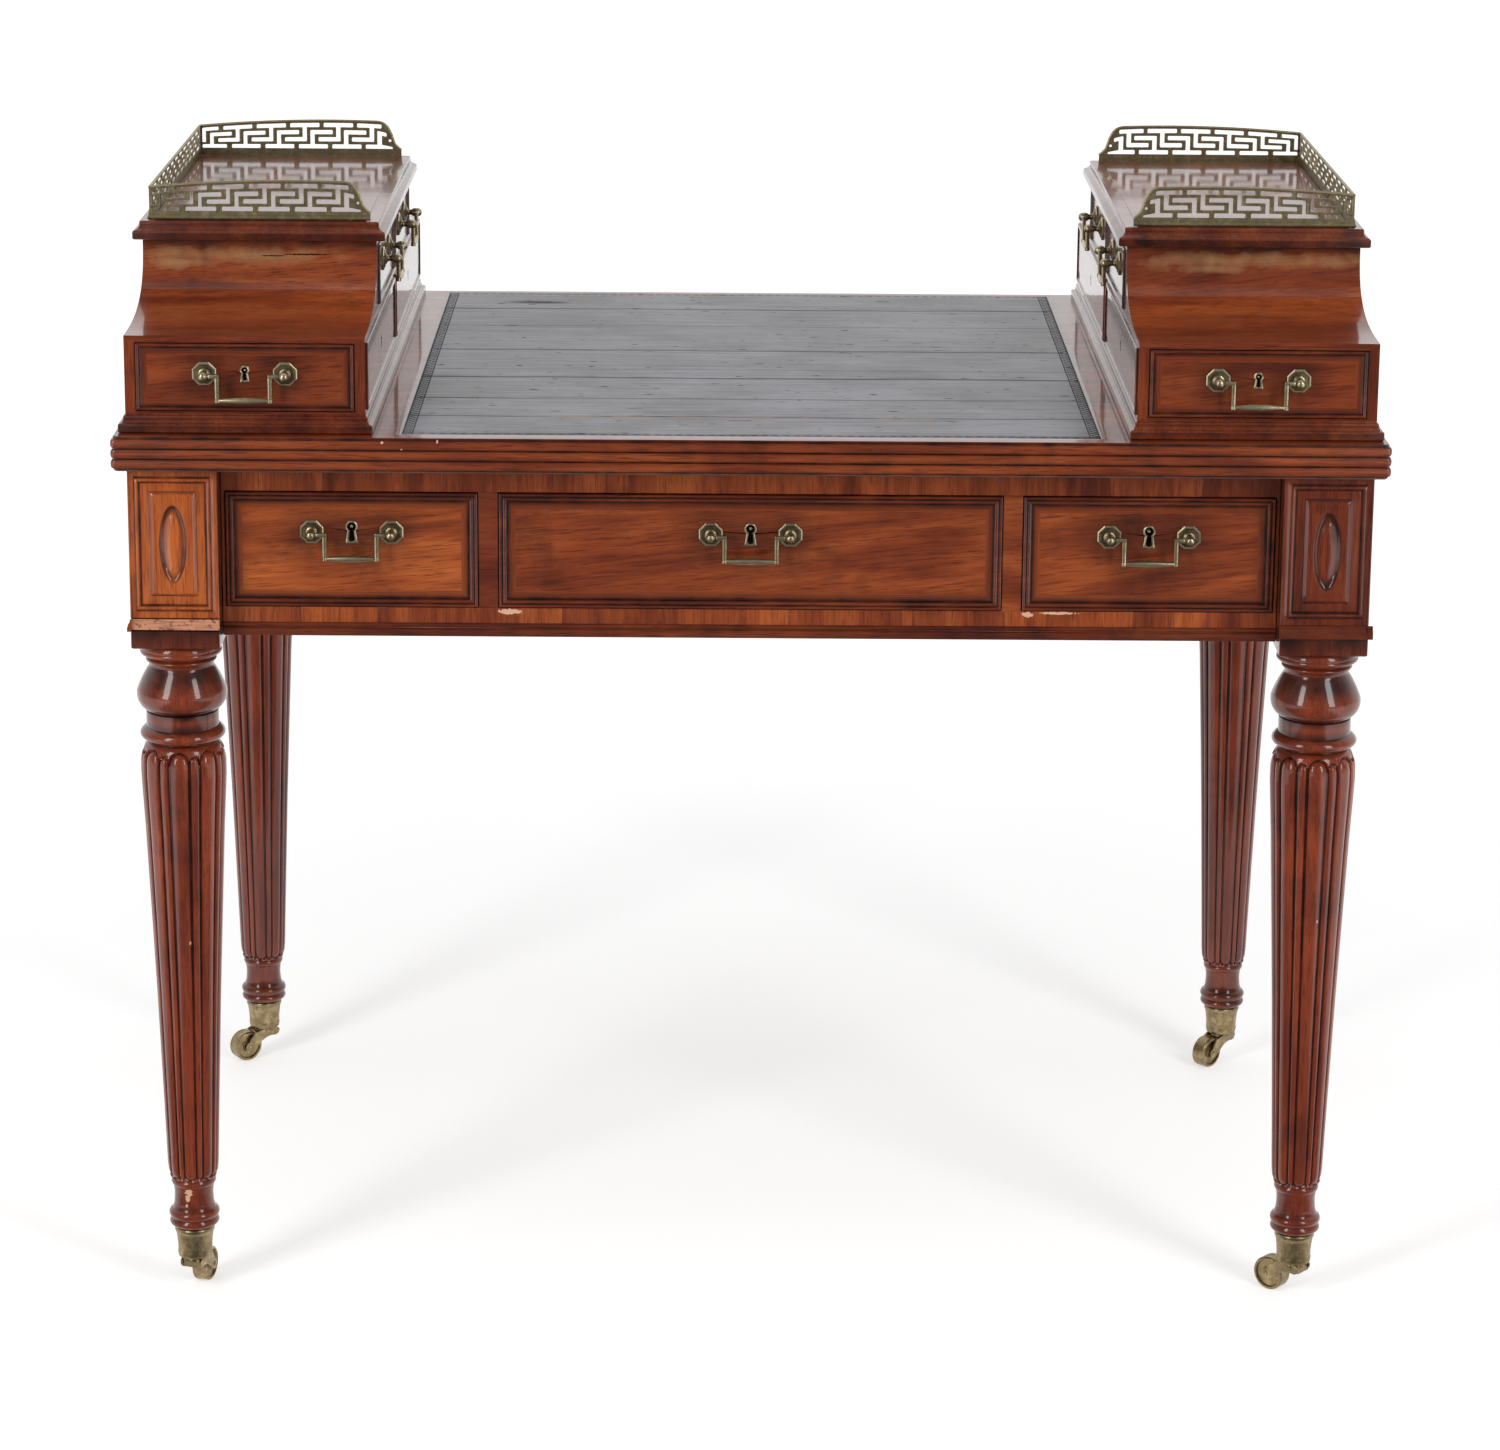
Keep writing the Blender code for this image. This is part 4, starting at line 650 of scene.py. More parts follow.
def take(*names):
    """The named finishes, in order; the first call makes them all."""
    if "glazed leather" not in bpy.data.materials:
        group = bpy.context.scene.writing_desk_colours
        look = {key: tuple(getattr(group, key)) for key in WritingDeskColours.__annotations__}
        body = [look[key] for key in ("mahogany_light", "mahogany_mid", "mahogany_dark", "patina_and_shade")]
        leg = [look["leg_light"], blended(look["leg_light"], look["leg_dark"], 0.5), look["leg_dark"], look["patina_and_shade"]]
        for along in "XYZ":
            polished_mahogany(f"polished mahogany {along}", along, *body, chips=FRIEZE_CHIPS if along == "Z" else ())
            drawer_lining(f"planed lining {along}", along, look["lining"])
        polished_mahogany("jointed mahogany X", "X", *body, chips=SLAB_CHIPS, joints=True)
        polished_mahogany("figured mahogany X", "X", *body, lean=0.09, chips=LEDGE_CHIPS, fades_and_highlights=HOLLOW_FADES_AND_HIGHLIGHTS,
                          cracks=HOLLOW_CRACKS)
        polished_mahogany("turned mahogany Z", "Z", *leg, chips=LEG_CHIPS)
        torn_wood("torn mahogany", look["scar"])
        bright, tarnish = look["brass_bright"], look["brass_dark"]
        aged_brass("aged brass", look["brass"], bright, tarnish)
        aged_brass("dusty brass", look["gallery"], blended(bright, look["gallery"], 0.45), tarnish, 0.08)
        aged_brass("yellow brass", look["caster"], linear("#CDBB90"), linear("#5E4B36"))
        shaded_lock_iron("lock iron")
        writing_leather("glazed leather", look["leather"], look["leather_worn"])
    return [bpy.data.materials[name] for name in names]


# Stage


def make_stage(_sizes):
    """The camera, the floor, the lamps and the world."""
    scene = bpy.context.scene
    scene.view_settings.view_transform = "Standard"
    lens = bpy.data.cameras.new("camera")
    lens.sensor_fit, lens.sensor_width, lens.shift_y, lens.clip_end = "HORIZONTAL", 36.0, -0.09, 100.0
    # the focal length was fitted in pixels
    focal_pixels, picture_width = 4451.7, 1500
    lens.lens = focal_pixels * lens.sensor_width / picture_width
    camera = bpy.data.objects.new("camera", lens)
    scene.collection.objects.link(camera)
    camera.location = (-0.0226, TOP_LOW[1] * MM - 3.6293, 1.5574)
    yaw, pitch, roll = (math.radians(angle) for angle in (0.3511, 14.0057, 0.4576))
    turn = [Matrix.Rotation(a, 3, axis) for a, axis in ((-yaw, "Z"), (math.pi / 2 - pitch, "X"), (roll, "Z"))]
    camera.rotation_euler = (turn[0] @ turn[1] @ turn[2]).to_euler()
    scene.camera = camera
    make_floor()
    for name, place, size, power in (("left softbox", (-2.3, -2.8, 2.0), (0.9, 2.6), 56.0),
                                     ("right softbox", (2.3, -2.8, 2.0), (0.9, 2.6), 50.0),
                                     ("top softbox", (0.0, -0.4, 3.4), (2.4, 2.0), 14.0)):
        lamp = bpy.data.lights.new(name, "AREA")
        lamp.shape, lamp.size, lamp.size_y, lamp.energy = "RECTANGLE", *size, power
        thing = bpy.data.objects.new(name, lamp)
        scene.collection.objects.link(thing)
        thing.location = place
        thing.rotation_euler = (Vector((0.0, 0.0, 0.55)) - thing.location).to_track_quat("-Z", "Y").to_euler()
        thing.visible_glossy = name != "top softbox"
    scene.world = bpy.data.worlds.new("studio")
    scene.world.use_nodes = True
    tree = scene.world.node_tree
    node = partial(add_node, tree)
    path = node("LightPath", out="all")
    # polish shows the white backdrop behind the desk and a dimmer room in front of it
    way = node("SeparateXYZ", {0: node("TexCoord", out="Generated")}, "Y")
    room = node("MapRange", {"From Min": -0.3, "From Max": 0.4, "To Min": 0.12, "To Max": 1.0, "Value": way})
    soft = node("Mix", {"Factor": path["Is Glossy Ray"], "A": 0.4, "B": room}, data_type="FLOAT")
    seen = folded(node, "MAXIMUM", path["Is Camera Ray"], path["Is Transmission Ray"])
    back = tree.nodes["Background"].inputs
    feed(tree, back["Strength"], node("Mix", {"Factor": seen, "A": soft, "B": 1.0}, data_type="FLOAT"))
    feed(tree, back["Color"], (1.0, 1.0, 1.0, 1.0))


def make_floor():
    """A level disc, its radius times (cos a, sin a), painted pale."""
    mesh = bpy.data.meshes.new("floor")
    rim = stack([FLOOR_RADIUS * MM * circle(64)], [0.0])[0]
    mesh.from_pydata(rim.tolist(), [], [list(range(len(rim)))])
    floor = bpy.data.objects.new("floor", mesh)
    bpy.context.scene.collection.objects.link(floor)
    material, node, place = new_finish("pale studio floor")
    noise = node("TexNoise", {"Scale": 3.0, "Vector": place})
    pale = tuple(bpy.context.scene.writing_desk_colours.floor)
    paint = node("ValToRGB", {"Fac": noise}, stops=[(0.2, shaded(pale, 0.985)), (0.8, pale)])
    path = node("LightPath", out="all")
    seen = folded(node, "MAXIMUM", *(path[f"Is {ray} Ray"] for ray in ("Camera", "Glossy", "Transmission")))
    # polish sees the floor in front of the desk as part of the dimmer room
    axes = node("SeparateXYZ", {0: place}, "all")
    aside = node("Math", {0: axes["X"]}, operation="ABSOLUTE")
    aside = node("Math", {0: axes["Y"], 1: 0.25, 2: aside}, operation="MULTIPLY_ADD")
    dim = folded(node, "MULTIPLY", band(node, axes["Y"], -FLOOR_RADIUS, -400, 100),
                 band(node, aside, -FLOOR_RADIUS, 720, 300), path["Is Glossy Ray"])
    # the floor shines of itself to the eye, more with distance, so that it ends in white and keeps its shadow
    reach = node("VectorMath", {0: place}, operation="LENGTH")
    glow = node("MapRange", {"From Min": 1.0, "From Max": 3.0, "To Min": 0.45, "To Max": 0.7, "Value": reach})
    shown = node("Math", {0: seen, 1: dim}, operation="SUBTRACT")
    lay(material, {
        "Base Color": node("Mix", {"Factor": dim, "A": paint, "B": (0.12, 0.12, 0.12, 1.0)}, data_type="RGBA"),
        "Roughness": 0.7, "Emission Color": (1.0, 1.0, 1.0, 1.0),
        "Emission Strength": folded(node, "MULTIPLY", shown, glow)})
    mesh.materials.append(material)


# Pieces


def make_writing_top(sizes):
    """The slab with its reeded edge and its leather writing surface."""
    make_slab()
    make_leather(sizes)


def make_slab():
    """Level rounded rectangles, each drawn in by depth x (1 - (1 - |2t-1|^2.4)^(1/2)) down three reeds."""
    depth, pitch, floor, top = 2.2, 8.7, TOP_LOW[2], TOP_HIGH[2]
    t = np.tile(np.linspace(0, 1, 13), 3)
    sink = depth * (1 - np.sqrt(np.clip(1 - np.abs(2 * t - 1) ** 2.4, 0, 1)))
    groove = np.abs(2 * t - 1) > 0.9
    heights = floor + 1.95 + pitch * (np.repeat(np.arange(3), 13) + t) - 0.3 * groove * np.sign(t - 0.5)
    # dark wax and painted shade in the grooves between the reeds and under the slab's lower arris
    edge = joined([0.8, 0.8], np.where(groove, 1.0, 0.05 + 0.95 * (sink / depth) ** 0.8),
                  [0.9, 0.25, 0.1, 0.55, 0.9, 1])
    heights = joined([floor, floor + 1.2], heights, [top - 0.5, top, top, top, top - 0.2, top - 1.6])
    rings = [rounded_ring(TOP_HIGH[0] - s, TOP_HIGH[1] - s, 3.5)
             for s in joined([depth * 1.4, depth], sink, [depth, depth + 0.5])]
    # the bed of the leather, inside a softened rim
    bed, middle = (LEATHER_HIGH - LEATHER_LOW) / 2 + 0.25, (LEATHER_HIGH + LEATHER_LOW) / 2
    rings += [rounded_ring(bed[0] + grow, bed[1] + grow, 0.4) + middle[:2] for grow in (6.0, 1.2, 0.0, 0.0)]
    build = Build()
    build.shell(stack(rings, heights), edge=edge[:, None], tone=0.62)
    build.make("writing_top_slab", take("jointed mahogany X"), "desk", ["writing_top"], "mahogany", crease=32)


def make_leather(sizes):
    """A sheet whose top sinks at each board joint by depth x exp(-(distance / 1.3 mm)^2), wavering a little."""
    low, high, joints = LEATHER_LOW, LEATHER_HIGH, BOARD_JOINTS
    x = np.linspace(low[0], high[0], 90)
    offsets = np.array([-4, -2.4, -1.2, -0.4, 0, 0.4, 1.2, 2.4, 4])
    y = np.unique(joined(np.linspace(low[1] + 0.6, high[1] - 0.6, 60), (joints[:, None] + offsets).ravel()))
    along, across = np.meshgrid(x, y, indexing="ij")
    waver = np.sin(along[..., None] * 0.017 + joints * 0.09) + 0.5 * np.sin(along[..., None] * 0.061 + joints * 0.007)
    apart = across[..., None] - joints - waver
    dip = np.clip(np.sum(np.exp(-((apart / 1.3) ** 2)) * JOINT_DEPTHS, axis=2), 0, 1.4)
    swell = 0.05 * (np.sin(across * 0.075 + 1.3) + np.sin(along * 0.023 + across * 0.031)) - 0.1
    z = high[2] - dip * sizes.crease_depth / MM * 0.8 + swell
    # two more rows at each long side turn the sheet's edge down
    for level in (high[2] - 0.5, low[2]):
        z = np.pad(z, ((0, 0), (1, 1)), constant_values=level)
    y = joined([low[1]] * 2, y, [high[1]] * 2)
    crack = np.exp(-((apart[..., -1] / 1.6) ** 2)) * (along > -170) * (along < 160)
    build, pad = Build(), ((0, 0), (2, 2))
    # the edge mark darkens the creases as painted shade
    build.shell(np.stack((*np.meshgrid(x, y, indexing="ij"), z), 2), edge=np.pad(np.clip(dip * 0.75, 0, 1), pad),
                wear=np.pad(crack, pad), tone=0.5)
    build.make("writing_leather", take("glazed leather"), "desk", ["leather_inset"], "leather", crease=50)


def make_frieze(sizes):
    """Cross-banded rails, aprons, inner boards and the bead along the bottom."""
    build = Build()
    X, Y, Z, LINING_X, LINING_Y = range(5)
    front, behind, back, rear, side = -312, -292, 312, 292, 497
    inner, reach = LEG_X - HALF_BLOCK - 0.4, LEG_Y - HALF_BLOCK - 0.4
    bottom, bead_top, top = FRIEZE_LOW[2], FRIEZE_LOW[2] + 11, FRIEZE_HIGH[2]
    drawer_low, drawer_high = corners("drawer_frieze_centre")
    left_low, left_high = corners("drawer_frieze_left")
    low, high = drawer_low[2] - DRAWER_GAP, drawer_high[2] + DRAWER_GAP
    under, over = low - 7, high + 7
    # cross-banded veneer: short lengths with their grain upright, each of its own tone
    rng = np.random.default_rng(7)
    for a, b, ends in ((high, top, rng.uniform(0.05, 0.11, 11)), (bead_top, low, rng.uniform(0.05, 0.11, 11))):
        cuts = np.append(0, np.cumsum(ends))
        cuts = inner * (2 * cuts / cuts[-1] - 1)
        for start, end, tone in zip(cuts[:-1], cuts[1:], rng.uniform(0, 1, 11)):
            build.board((start, front, a), (end, behind, b), Z, tone=0.5 + 0.7 * tone, edge=0.06)
    for sx in (-1, 1):
        near, far = sx * (drawer_high[0] + DRAWER_GAP), sx * (-left_high[0] - DRAWER_GAP)
        build.board((near, front, low), (far, behind, high), X, tone=0.4 + 0.2 * sx, edge=0.12)
        build.board((near, behind, low), (far, 230, high), LINING_Y)
        near, leg, wall = sx * (-left_low[0] + DRAWER_GAP), sx * inner, sx * (side - 20)
        build.board((near, front, low), (leg, behind, high), Z, tone=0.5, edge=0.35)
        build.board((near, behind, low), (leg, reach, high), LINING_Y)
        build.board((leg, -reach, low), (wall, reach, high), LINING_Y)
        build.board((near, -reach, bottom + 0.5), (wall, reach, under), LINING_Y)
        build.board((near, -reach, over), (wall, reach, top), LINING_Y)
        build.board((wall, -reach, bead_top), (sx * side, reach, top), Z, tone=0.6, edge=0.08)
    build.board((-inner, rear, bead_top), (inner, back, top), X, tone=0.3, edge=0.15)
    build.board((-inner, behind, under), (inner, rear, low), LINING_X, axis=1)
    build.board((-inner, behind, high), (inner, rear, over), LINING_X, axis=1)
    build.board((-inner, 262.8, low), (inner, rear, high), LINING_X)
    for sy in (-1, 1):
        build.board((-inner, sy * reach, bottom + 0.5), (inner, sy * rear, under), LINING_X)
        build.board((-inner, sy * reach, over), (inner, sy * rear, top), LINING_X)
    # bead: a flat, a hollow quirk and a half round, 11 mm high and 4 mm proud
    profile = bowed([(-16, 0), (2.6, 0), (3.0, 6.2), (0.9, 7.2), (1.2, 10.6), (0, 11.2), (-16, 11.2)],
                    [0, 1.1, 0, 0.9, 0, 0], 10)
    for axis, place, far in ((0, front, inner), (0, back, inner), (1, -side, reach), (1, side, reach)):
        build.prism(profile * (np.sign(place), 1) + (place, bottom), axis, -far, far, (X, Y)[axis], tone=0.2, edge=0.45)
    build.make("frieze_boards", take("polished mahogany X", "polished mahogany Y", "polished mahogany Z",
               "planed lining X", "planed lining Y"), "desk", ["frieze_frame"], "mahogany", bevel=sizes.edge_round)


def make_legs(sizes):
    """Four legs: panelled block, turning and reeded shaft."""
    for place, sx, sy in PLACES:
        build = Build()
        add_turnings(build, sizes, np.array((sx * LEG_X, sy * LEG_Y)), LEG_TONES.get(place, 0.46))
        add_block(build, place, sx, sy)
        build.make(f"turned_leg_{place}", take("turned mahogany Z", "polished mahogany Z", "polished mahogany X",
                   "torn mahogany", "polished mahogany Y"), "desk", [f"leg_{place}"], "dark_mahogany", crease=32)


def add_turnings(build, sizes, centre, tone):
    """The turnings are bowed outlines carried round Z; edge darkens where the outline is narrow, as wax and painted
    shade.
    """
    neck = bowed([(12, 600), (31, 594), (34.2, 586.8), (34.4, 583.2), (30.2, 581.8), (28.2, 579.6), (28.2, 575.6),
                  (27.7, 572), (38.3, 550.6), (29.6, 532.4), (30.9, 531.8), (30.9, 518.6), (32, 518.2), (31.5, 506.4),
                  (28.6, 505.2), (28.4, 500), (12, 496)],
                 [0, -0.9, -0.8, -0.6, 0.4, -2.1, 0.3, -0.7, -3.4, 0, -0.1, 0, -4.7, 0, 0, 0], 12)
    foot = bowed([(12, 114), (17.4, 110), (18.2, 105.8), (18.2, 99.6), (17.8, 98.6), (17.2, 86), (18.9, 77.6),
                  (20.6, 69.4), (20.2, 68.7), (18.6, 61.4), (16.8, 60.2), (12.2, 60.2), (12.2, 46)],
                 [0, 0, -1.3, 0.2, 0.5, 0.4, -2.3, 0, -2.3, 0, 0, 0], 12)
    for outline in (neck, foot):
        radius = outline[:, 0]
        wide = np.maximum.reduce([np.roll(radius, s) for s in range(-6, 7)])
        hollow = np.clip((wide - radius - 0.6) / 5.0, 0, 1)
        build.shell(stack(centre + spun(outline, 72), outline[:, 1]), edge=(0.15 + 0.75 * hollow)[:, None], tone=tone)
    shaft, dark = reeded_shaft(sizes, centre)
    build.shell(shaft, edge=dark, tone=tone)


def reeded_shaft(sizes, centre):
    """The shaft's grid and its dark wax, with painted shade in the grooves between the reeds.

    Radius = R(z) - d (1 - h): R follows the taper, d is the reed depth, and h(x, t) is a round ridge,
    sqrt(1 - |x|^2.2 - ((w - t) / w)^2) at distance t from a reed's end, where x runs -1 to 1 across its width 2w.
    """
    def eased(count):
        return (1 - np.cos(np.linspace(0, math.pi, count))) / 2

    z_key = np.array([106, 109, 113, 120, 171.3, 222.5, 273.7, 324.8, 376, 427.2, 460, 476.7, 488, 496, 502, 504.5])
    r_key = np.array([20.0, 21.0, 21.7, 22.3, 24.0, 25.8, 27.6, 29.7, 31.9, 34.1, 35.9, 36.7, 36.6, 35.6, 33.0, 30.4])
    z = np.unique(joined(106.5 + (504.4 - 106.5) * eased(70), np.linspace(478, 504, 28), np.linspace(107, 120, 12)))
    taper, z = np.interp(z, z_key, r_key)[:, None], z[:, None]
    # eight pairs of one wide and one narrow reed, by angle in degrees
    wide, narrow = 30.6, 14.4
    a = joined(wide * eased(15)[:-1], wide + narrow * eased(9)[:-1])
    first = a < wide - 1e-6
    broad = np.tile(first, 8)
    angle = (a + (wide + narrow) * np.arange(8)[:, None]).ravel()
    width = np.where(first, wide, narrow)
    # a reed is round over 0.9 of its width; the rest is the flat bottom of the quirk
    x = np.tile(2 * (a - np.where(first, 0.0, wide)) / width - 1, 8) / 0.9
    half = np.radians(np.tile(width, 8) / 2) * taper
    from_end = np.minimum(np.where(broad, 500.0, 496.5) - z, z - np.where(broad, 108.2, 109.4))
    near = np.clip((half - from_end) / half, 0, None)
    ridge = np.sqrt(np.clip(1 - np.abs(x) ** 2.2 - near ** 2, 0, 1))
    # past a reed's round end and the dark quirk round it the shaft is plain again
    past = np.clip((np.hypot(x, near) - 1) * half / 1.5 - 0.35, 0, 1) * (near > 0.02)
    ridge = np.maximum(ridge, past * 0.92)
    r = taper - sizes.reed_depth / MM * taper / r_key.max() * (1 - ridge * np.where(broad, 1.0, 0.86))
    turn = np.radians(angle + 45.0 - wide / 2)
    out = r[..., None] * np.stack((np.cos(turn), np.sin(turn)), 1)
    # the first and last rows close in to 0.8 of the radius, inside the turnings
    rings = joined(0.8 * out[:1], out, 0.8 * out[-1:])
    # dark wax and painted shade in the grooves and round the reeds' ends
    dark = np.pad(np.clip(1.15 - 1.9 * ridge, 0.03, 1), ((1, 1), (0, 0)), constant_values=1.0)
    return stack(centre + rings, joined([104], z[:, 0], [506])), dark


def add_block(build, place, sx, sy):
    """The block is a plain core; each outer face is a stack of rectangles that ends in a sunk oval."""
    cx, cy = centre = np.array((sx * LEG_X, sy * LEG_Y))
    half, foot = HALF_BLOCK, 610
    # the finishes that make_legs takes
    upright, along_x, torn, along_y = 1, 2, 3, 4
    tone, field = BLOCK_TONES.get(place, (0.4, 0.5))
    # above the plinth the core stands 3.4 mm behind the panelled faces; s is half of that
    rings = [rounded_ring(half - s, half - s, r) + centre - (sx * back, sy * back) for s, r, back in
             ((1.2, 0.8, 0), (0, 0.8, 0), (0, 0.8, 0), (1.7, 0.5, 1.7), (1.7, 0.5, 1.7))]
    # the plinth is drawn darker at its bottom edge and towards its top
    build.shell(stack(rings, (594, 595, foot - 0.4, foot + 0.4, BLOCK_TOP)), upright,
                edge=np.array([0.7, 0.35, 0.95, 0.9, 0.4])[:, None], tone=min(tone, 0.1))
    for out in ((0.0, sy), (sx, 0.0)):
        add_panel(build, out, centre, upright, field)
    # moulding above the plinth, lost from the front of the front left leg
    profile = np.array([(0, 0), (1.0, 0.0), (1.0, 0.25), (0.75, 0.6), (0.35, 0.72), (0.3, 0.92), (0, 1.0)]) * (3.6, 11)
    scar = np.array([(-1, 1), (0.2, 1), (0.2, 10.2), (-1, 10.2)])
    for axis, way, out, middle, face, slot, reach in ((0, sx, sy, cx, cy, along_x, half + 3.6),
                                                      (1, sy, sx, cy, cx, along_y, half + 3.2)):
        if place == "front_left" and axis == 0:
            build.prism(scar * (out, 1) + (face + out * half, foot), axis, middle - half, middle + half, torn, tone=0.3)
        else:
            ends = (half, reach) if way > 0 else (reach, half)
            build.prism(profile * (out, 1) + (face + out * (half - 0.9), foot), axis, middle - ends[0],
                        middle + ends[1], slot, tone=tone, edge=0.45)


def add_panel(build, out, centre, slot, tone):
    """Rectangles shrink by d from the panel's rim at height h, blend into an ellipse, and sink as a cove."""
    low, high, count, rim = 621, BLOCK_TOP - 0.1, 18, (12.0, 34.6)
    half_v = (high - low) / 2
    # inside its bead the panel is 1.5 mm shorter at each end
    rings = [even_ring(HALF_BLOCK - d, half_v - d - 1.5 * (d > 5), count) for d in PANEL_STEPS[:, 0]]
    outer, ellipse = rings[-1], oval_ring(*rim, count)
    rings += [outer * (1 - share) + ellipse * share for share in (0.35, 0.7, 1.0)]
    rings += [oval_ring(rim[0] - d, rim[1] - d * 1.6, count) for d in COVE_STEPS[:, 0]]
    heights, edges = joined(PANEL_STEPS, [(0, 1.1, 0.15)] * 3, COVE_STEPS)[:, 1:].T
    build.shell(facing(rings, HALF_BLOCK - 0.6 + heights, out, (*centre, (low + high) / 2)), slot,
                edge=edges[:, None], tone=tone)


def make_casters(sizes):
    """The casters: cup, swivelling fork and wheel."""
    brass = take("yellow brass")
    cup = bowed([(4.2, 34), (4.2, 32), (13.9, 32), (14.8, 33), (15.3, 36.4), (14.9, 37.2), (16.6, 55.4), (17.3, 56.2),
                 (17.3, 59.0), (16.7, 59.7), (12.6, 59.7), (12.6, 45)], [0, 0, 0.3, 0, 0, -0.4, 0, 0.2, 0, 0, 0], 7)
    # a tyre of radius 15 mm with round shoulders and a dished side, carried round its axle
    tyre = bowed([(2.5, -6.8), (5.2, -6.8), (6.0, -5.2), (11.6, -5.2), (12.4, -7.0), (14.2, -6.6), (15.0, -4.6),
                  (15.0, 4.6), (14.2, 6.6), (12.4, 7.0), (11.6, 5.2), (6.0, 5.2), (5.2, 6.8), (2.5, 6.8)],
                 [0, 0, 0, 0, 0.2, 0.4, 0.0, 0.4, 0.2, 0, 0, 0, 0], 6)
    for place, sx, sy in PLACES:
        centre = (sx * LEG_X, sy * LEG_Y)
        turn = turned(math.radians(TRAIL_ANGLES[place]), (*centre, 0.0))
        build = Build()
        build.shell(stack(centre + spun(cup, 56), cup[:, 1]), ends=False, edge=0.1)
        build.make(f"brass_cup_{place}", brass, "desk", [f"caster_cup_{place}"], "brass")
        build = Build()
        add_fork(build)
        build.make(f"brass_fork_{place}", brass, f"caster_fork_{place}", [f"caster_fork_{place}"], "brass",
                   bevel=sizes.edge_round, turn=turn)
        build = Build()
        build.shell(facing(spun(tyre, 64), tyre[:, 1], (0, 1), WHEEL_CENTRE), ends=False, edge=0.15)
        build.make(f"brass_wheel_{place}", brass, f"caster_wheel_{place}", [f"caster_wheel_{place}"], "brass",
                   turn=turn)


def add_fork(build):
    """The crown is turned; each cheek is an outline, a smooth horn from the crown to the axle, carried across."""
    crown = bowed([(0.5, 41), (3.4, 41), (3.4, 31.6), (9.0, 31.4), (10.8, 29.4), (10.2, 26.2), (6.0, 24.0),
                   (0.5, 23.6)], [0, 0, 0, -0.6, -0.5, -0.4, 0], 8)
    build.shell(stack(spun(crown, 32), crown[:, 1]), edge=0.2)
    a = np.linspace(1.35, -1.6, 10)
    outline = joined(cubic((-10, 30.4), (4, 33.0), (18, 31.5), (22.5, 19.6)),
                     np.stack((22 + 4.6 * np.cos(a), 15 + 4.6 * np.sin(a)), 1),
                     cubic((20, 10.9), (12, 13), (9, 22.5), (-3, 23.0)),
                     cubic((-5, 22.8), (-9, 22.0), (-11.8, 24.0), (-12, 28.5)))
    for side in (-1, 1):
        build.prism(outline, 1, side * 7.6, side * 9.6)
    build.prism([(-11, 23.4), (5.2, 23.4), (5.6, 30.8), (-9.5, 30.6)], 1, -8.2, 8.2)
    axle = bowed([(0.3, -10.6), (1.9, -10.4), (2.4, -9.4), (2.0, -9.2), (2.0, 9.2), (2.4, 9.4), (1.9, 10.4),
                  (0.3, 10.6)], [0.2, 0.2, 0, 0, 0, 0.2, 0.2], 5)
    build.shell(facing(spun(axle, 20), axle[:, 1], (0, 1), WHEEL_CENTRE))


def make_cases(sizes):
    """The two raised cases with hollow fronts, moulded bases and moulded tops."""
    for side, sx in SIDES:
        build = Build()
        add_mouldings(build, sx)
        add_carcass(build, side, sx)
        build.make(f"case_boards_{side}", take("polished mahogany X", "polished mahogany Y", "polished mahogany Z",
                   "planed lining X", "lock iron", "figured mahogany X"), "desk", [f"case_{side}"], "mahogany",
                   bevel=sizes.edge_round)


def add_mouldings(build, sx):
    """Rounded rectangles grow and shrink with height by a bowed profile of (reach, height)."""
    base = bowed([(5.2, 0.0), (6.0, 1.0), (6.0, 5.6), (4.6, 7.6), (2.2, 10.2), (1.6, 10.6), (1.4, 13.8), (0.0, 14.6),
                  (0.0, 16.0)], [0, 0, 0.5, -0.7, 0, 0.3, 0, 0], 8)
    crown = bowed([(2.0, 0.0), (6.6, 0.6), (8.0, 2.2), (8.0, 5.8), (6.2, 8.8), (4.2, 9.8), (2.6, 14.4), (2.0, 16.2),
                   (1.4, 16.4)], [0, 0.3, 0, 0.7, 0, -0.8, 0, 0.1], 8)
    centre = (sx * CASE_X, 0.0)
    for profile, half_y, floor, dark in ((base, 330, 780.4, 0.35), (crown, 192, 920, 0.4)):
        rings = [rounded_ring(HALF_CASE + out, half_y + out, 0.9) + centre for out in profile[:, 0]]
        # the upright flats of each profile are drawn darker
        edge = np.clip(dark + 0.4 * (np.abs(np.gradient(profile[:, 0])) < 0.05), 0, 0.85)
        edge[-1] = 0.12
        heights = floor + profile[:, 1]
        if profile is crown:
            # the top inside the gallery stands half a millimetre higher
            rings += [rounded_ring(91.4, 182.9, 0.9) + centre] * 2
            heights, edge = joined(heights, heights[-1] + np.array([0, 0.5])), joined(edge, [0.3, 0.1])
        build.shell(stack(rings, heights), 1, edge=edge[:, None], tone=0.28 + 0.08 * sx)


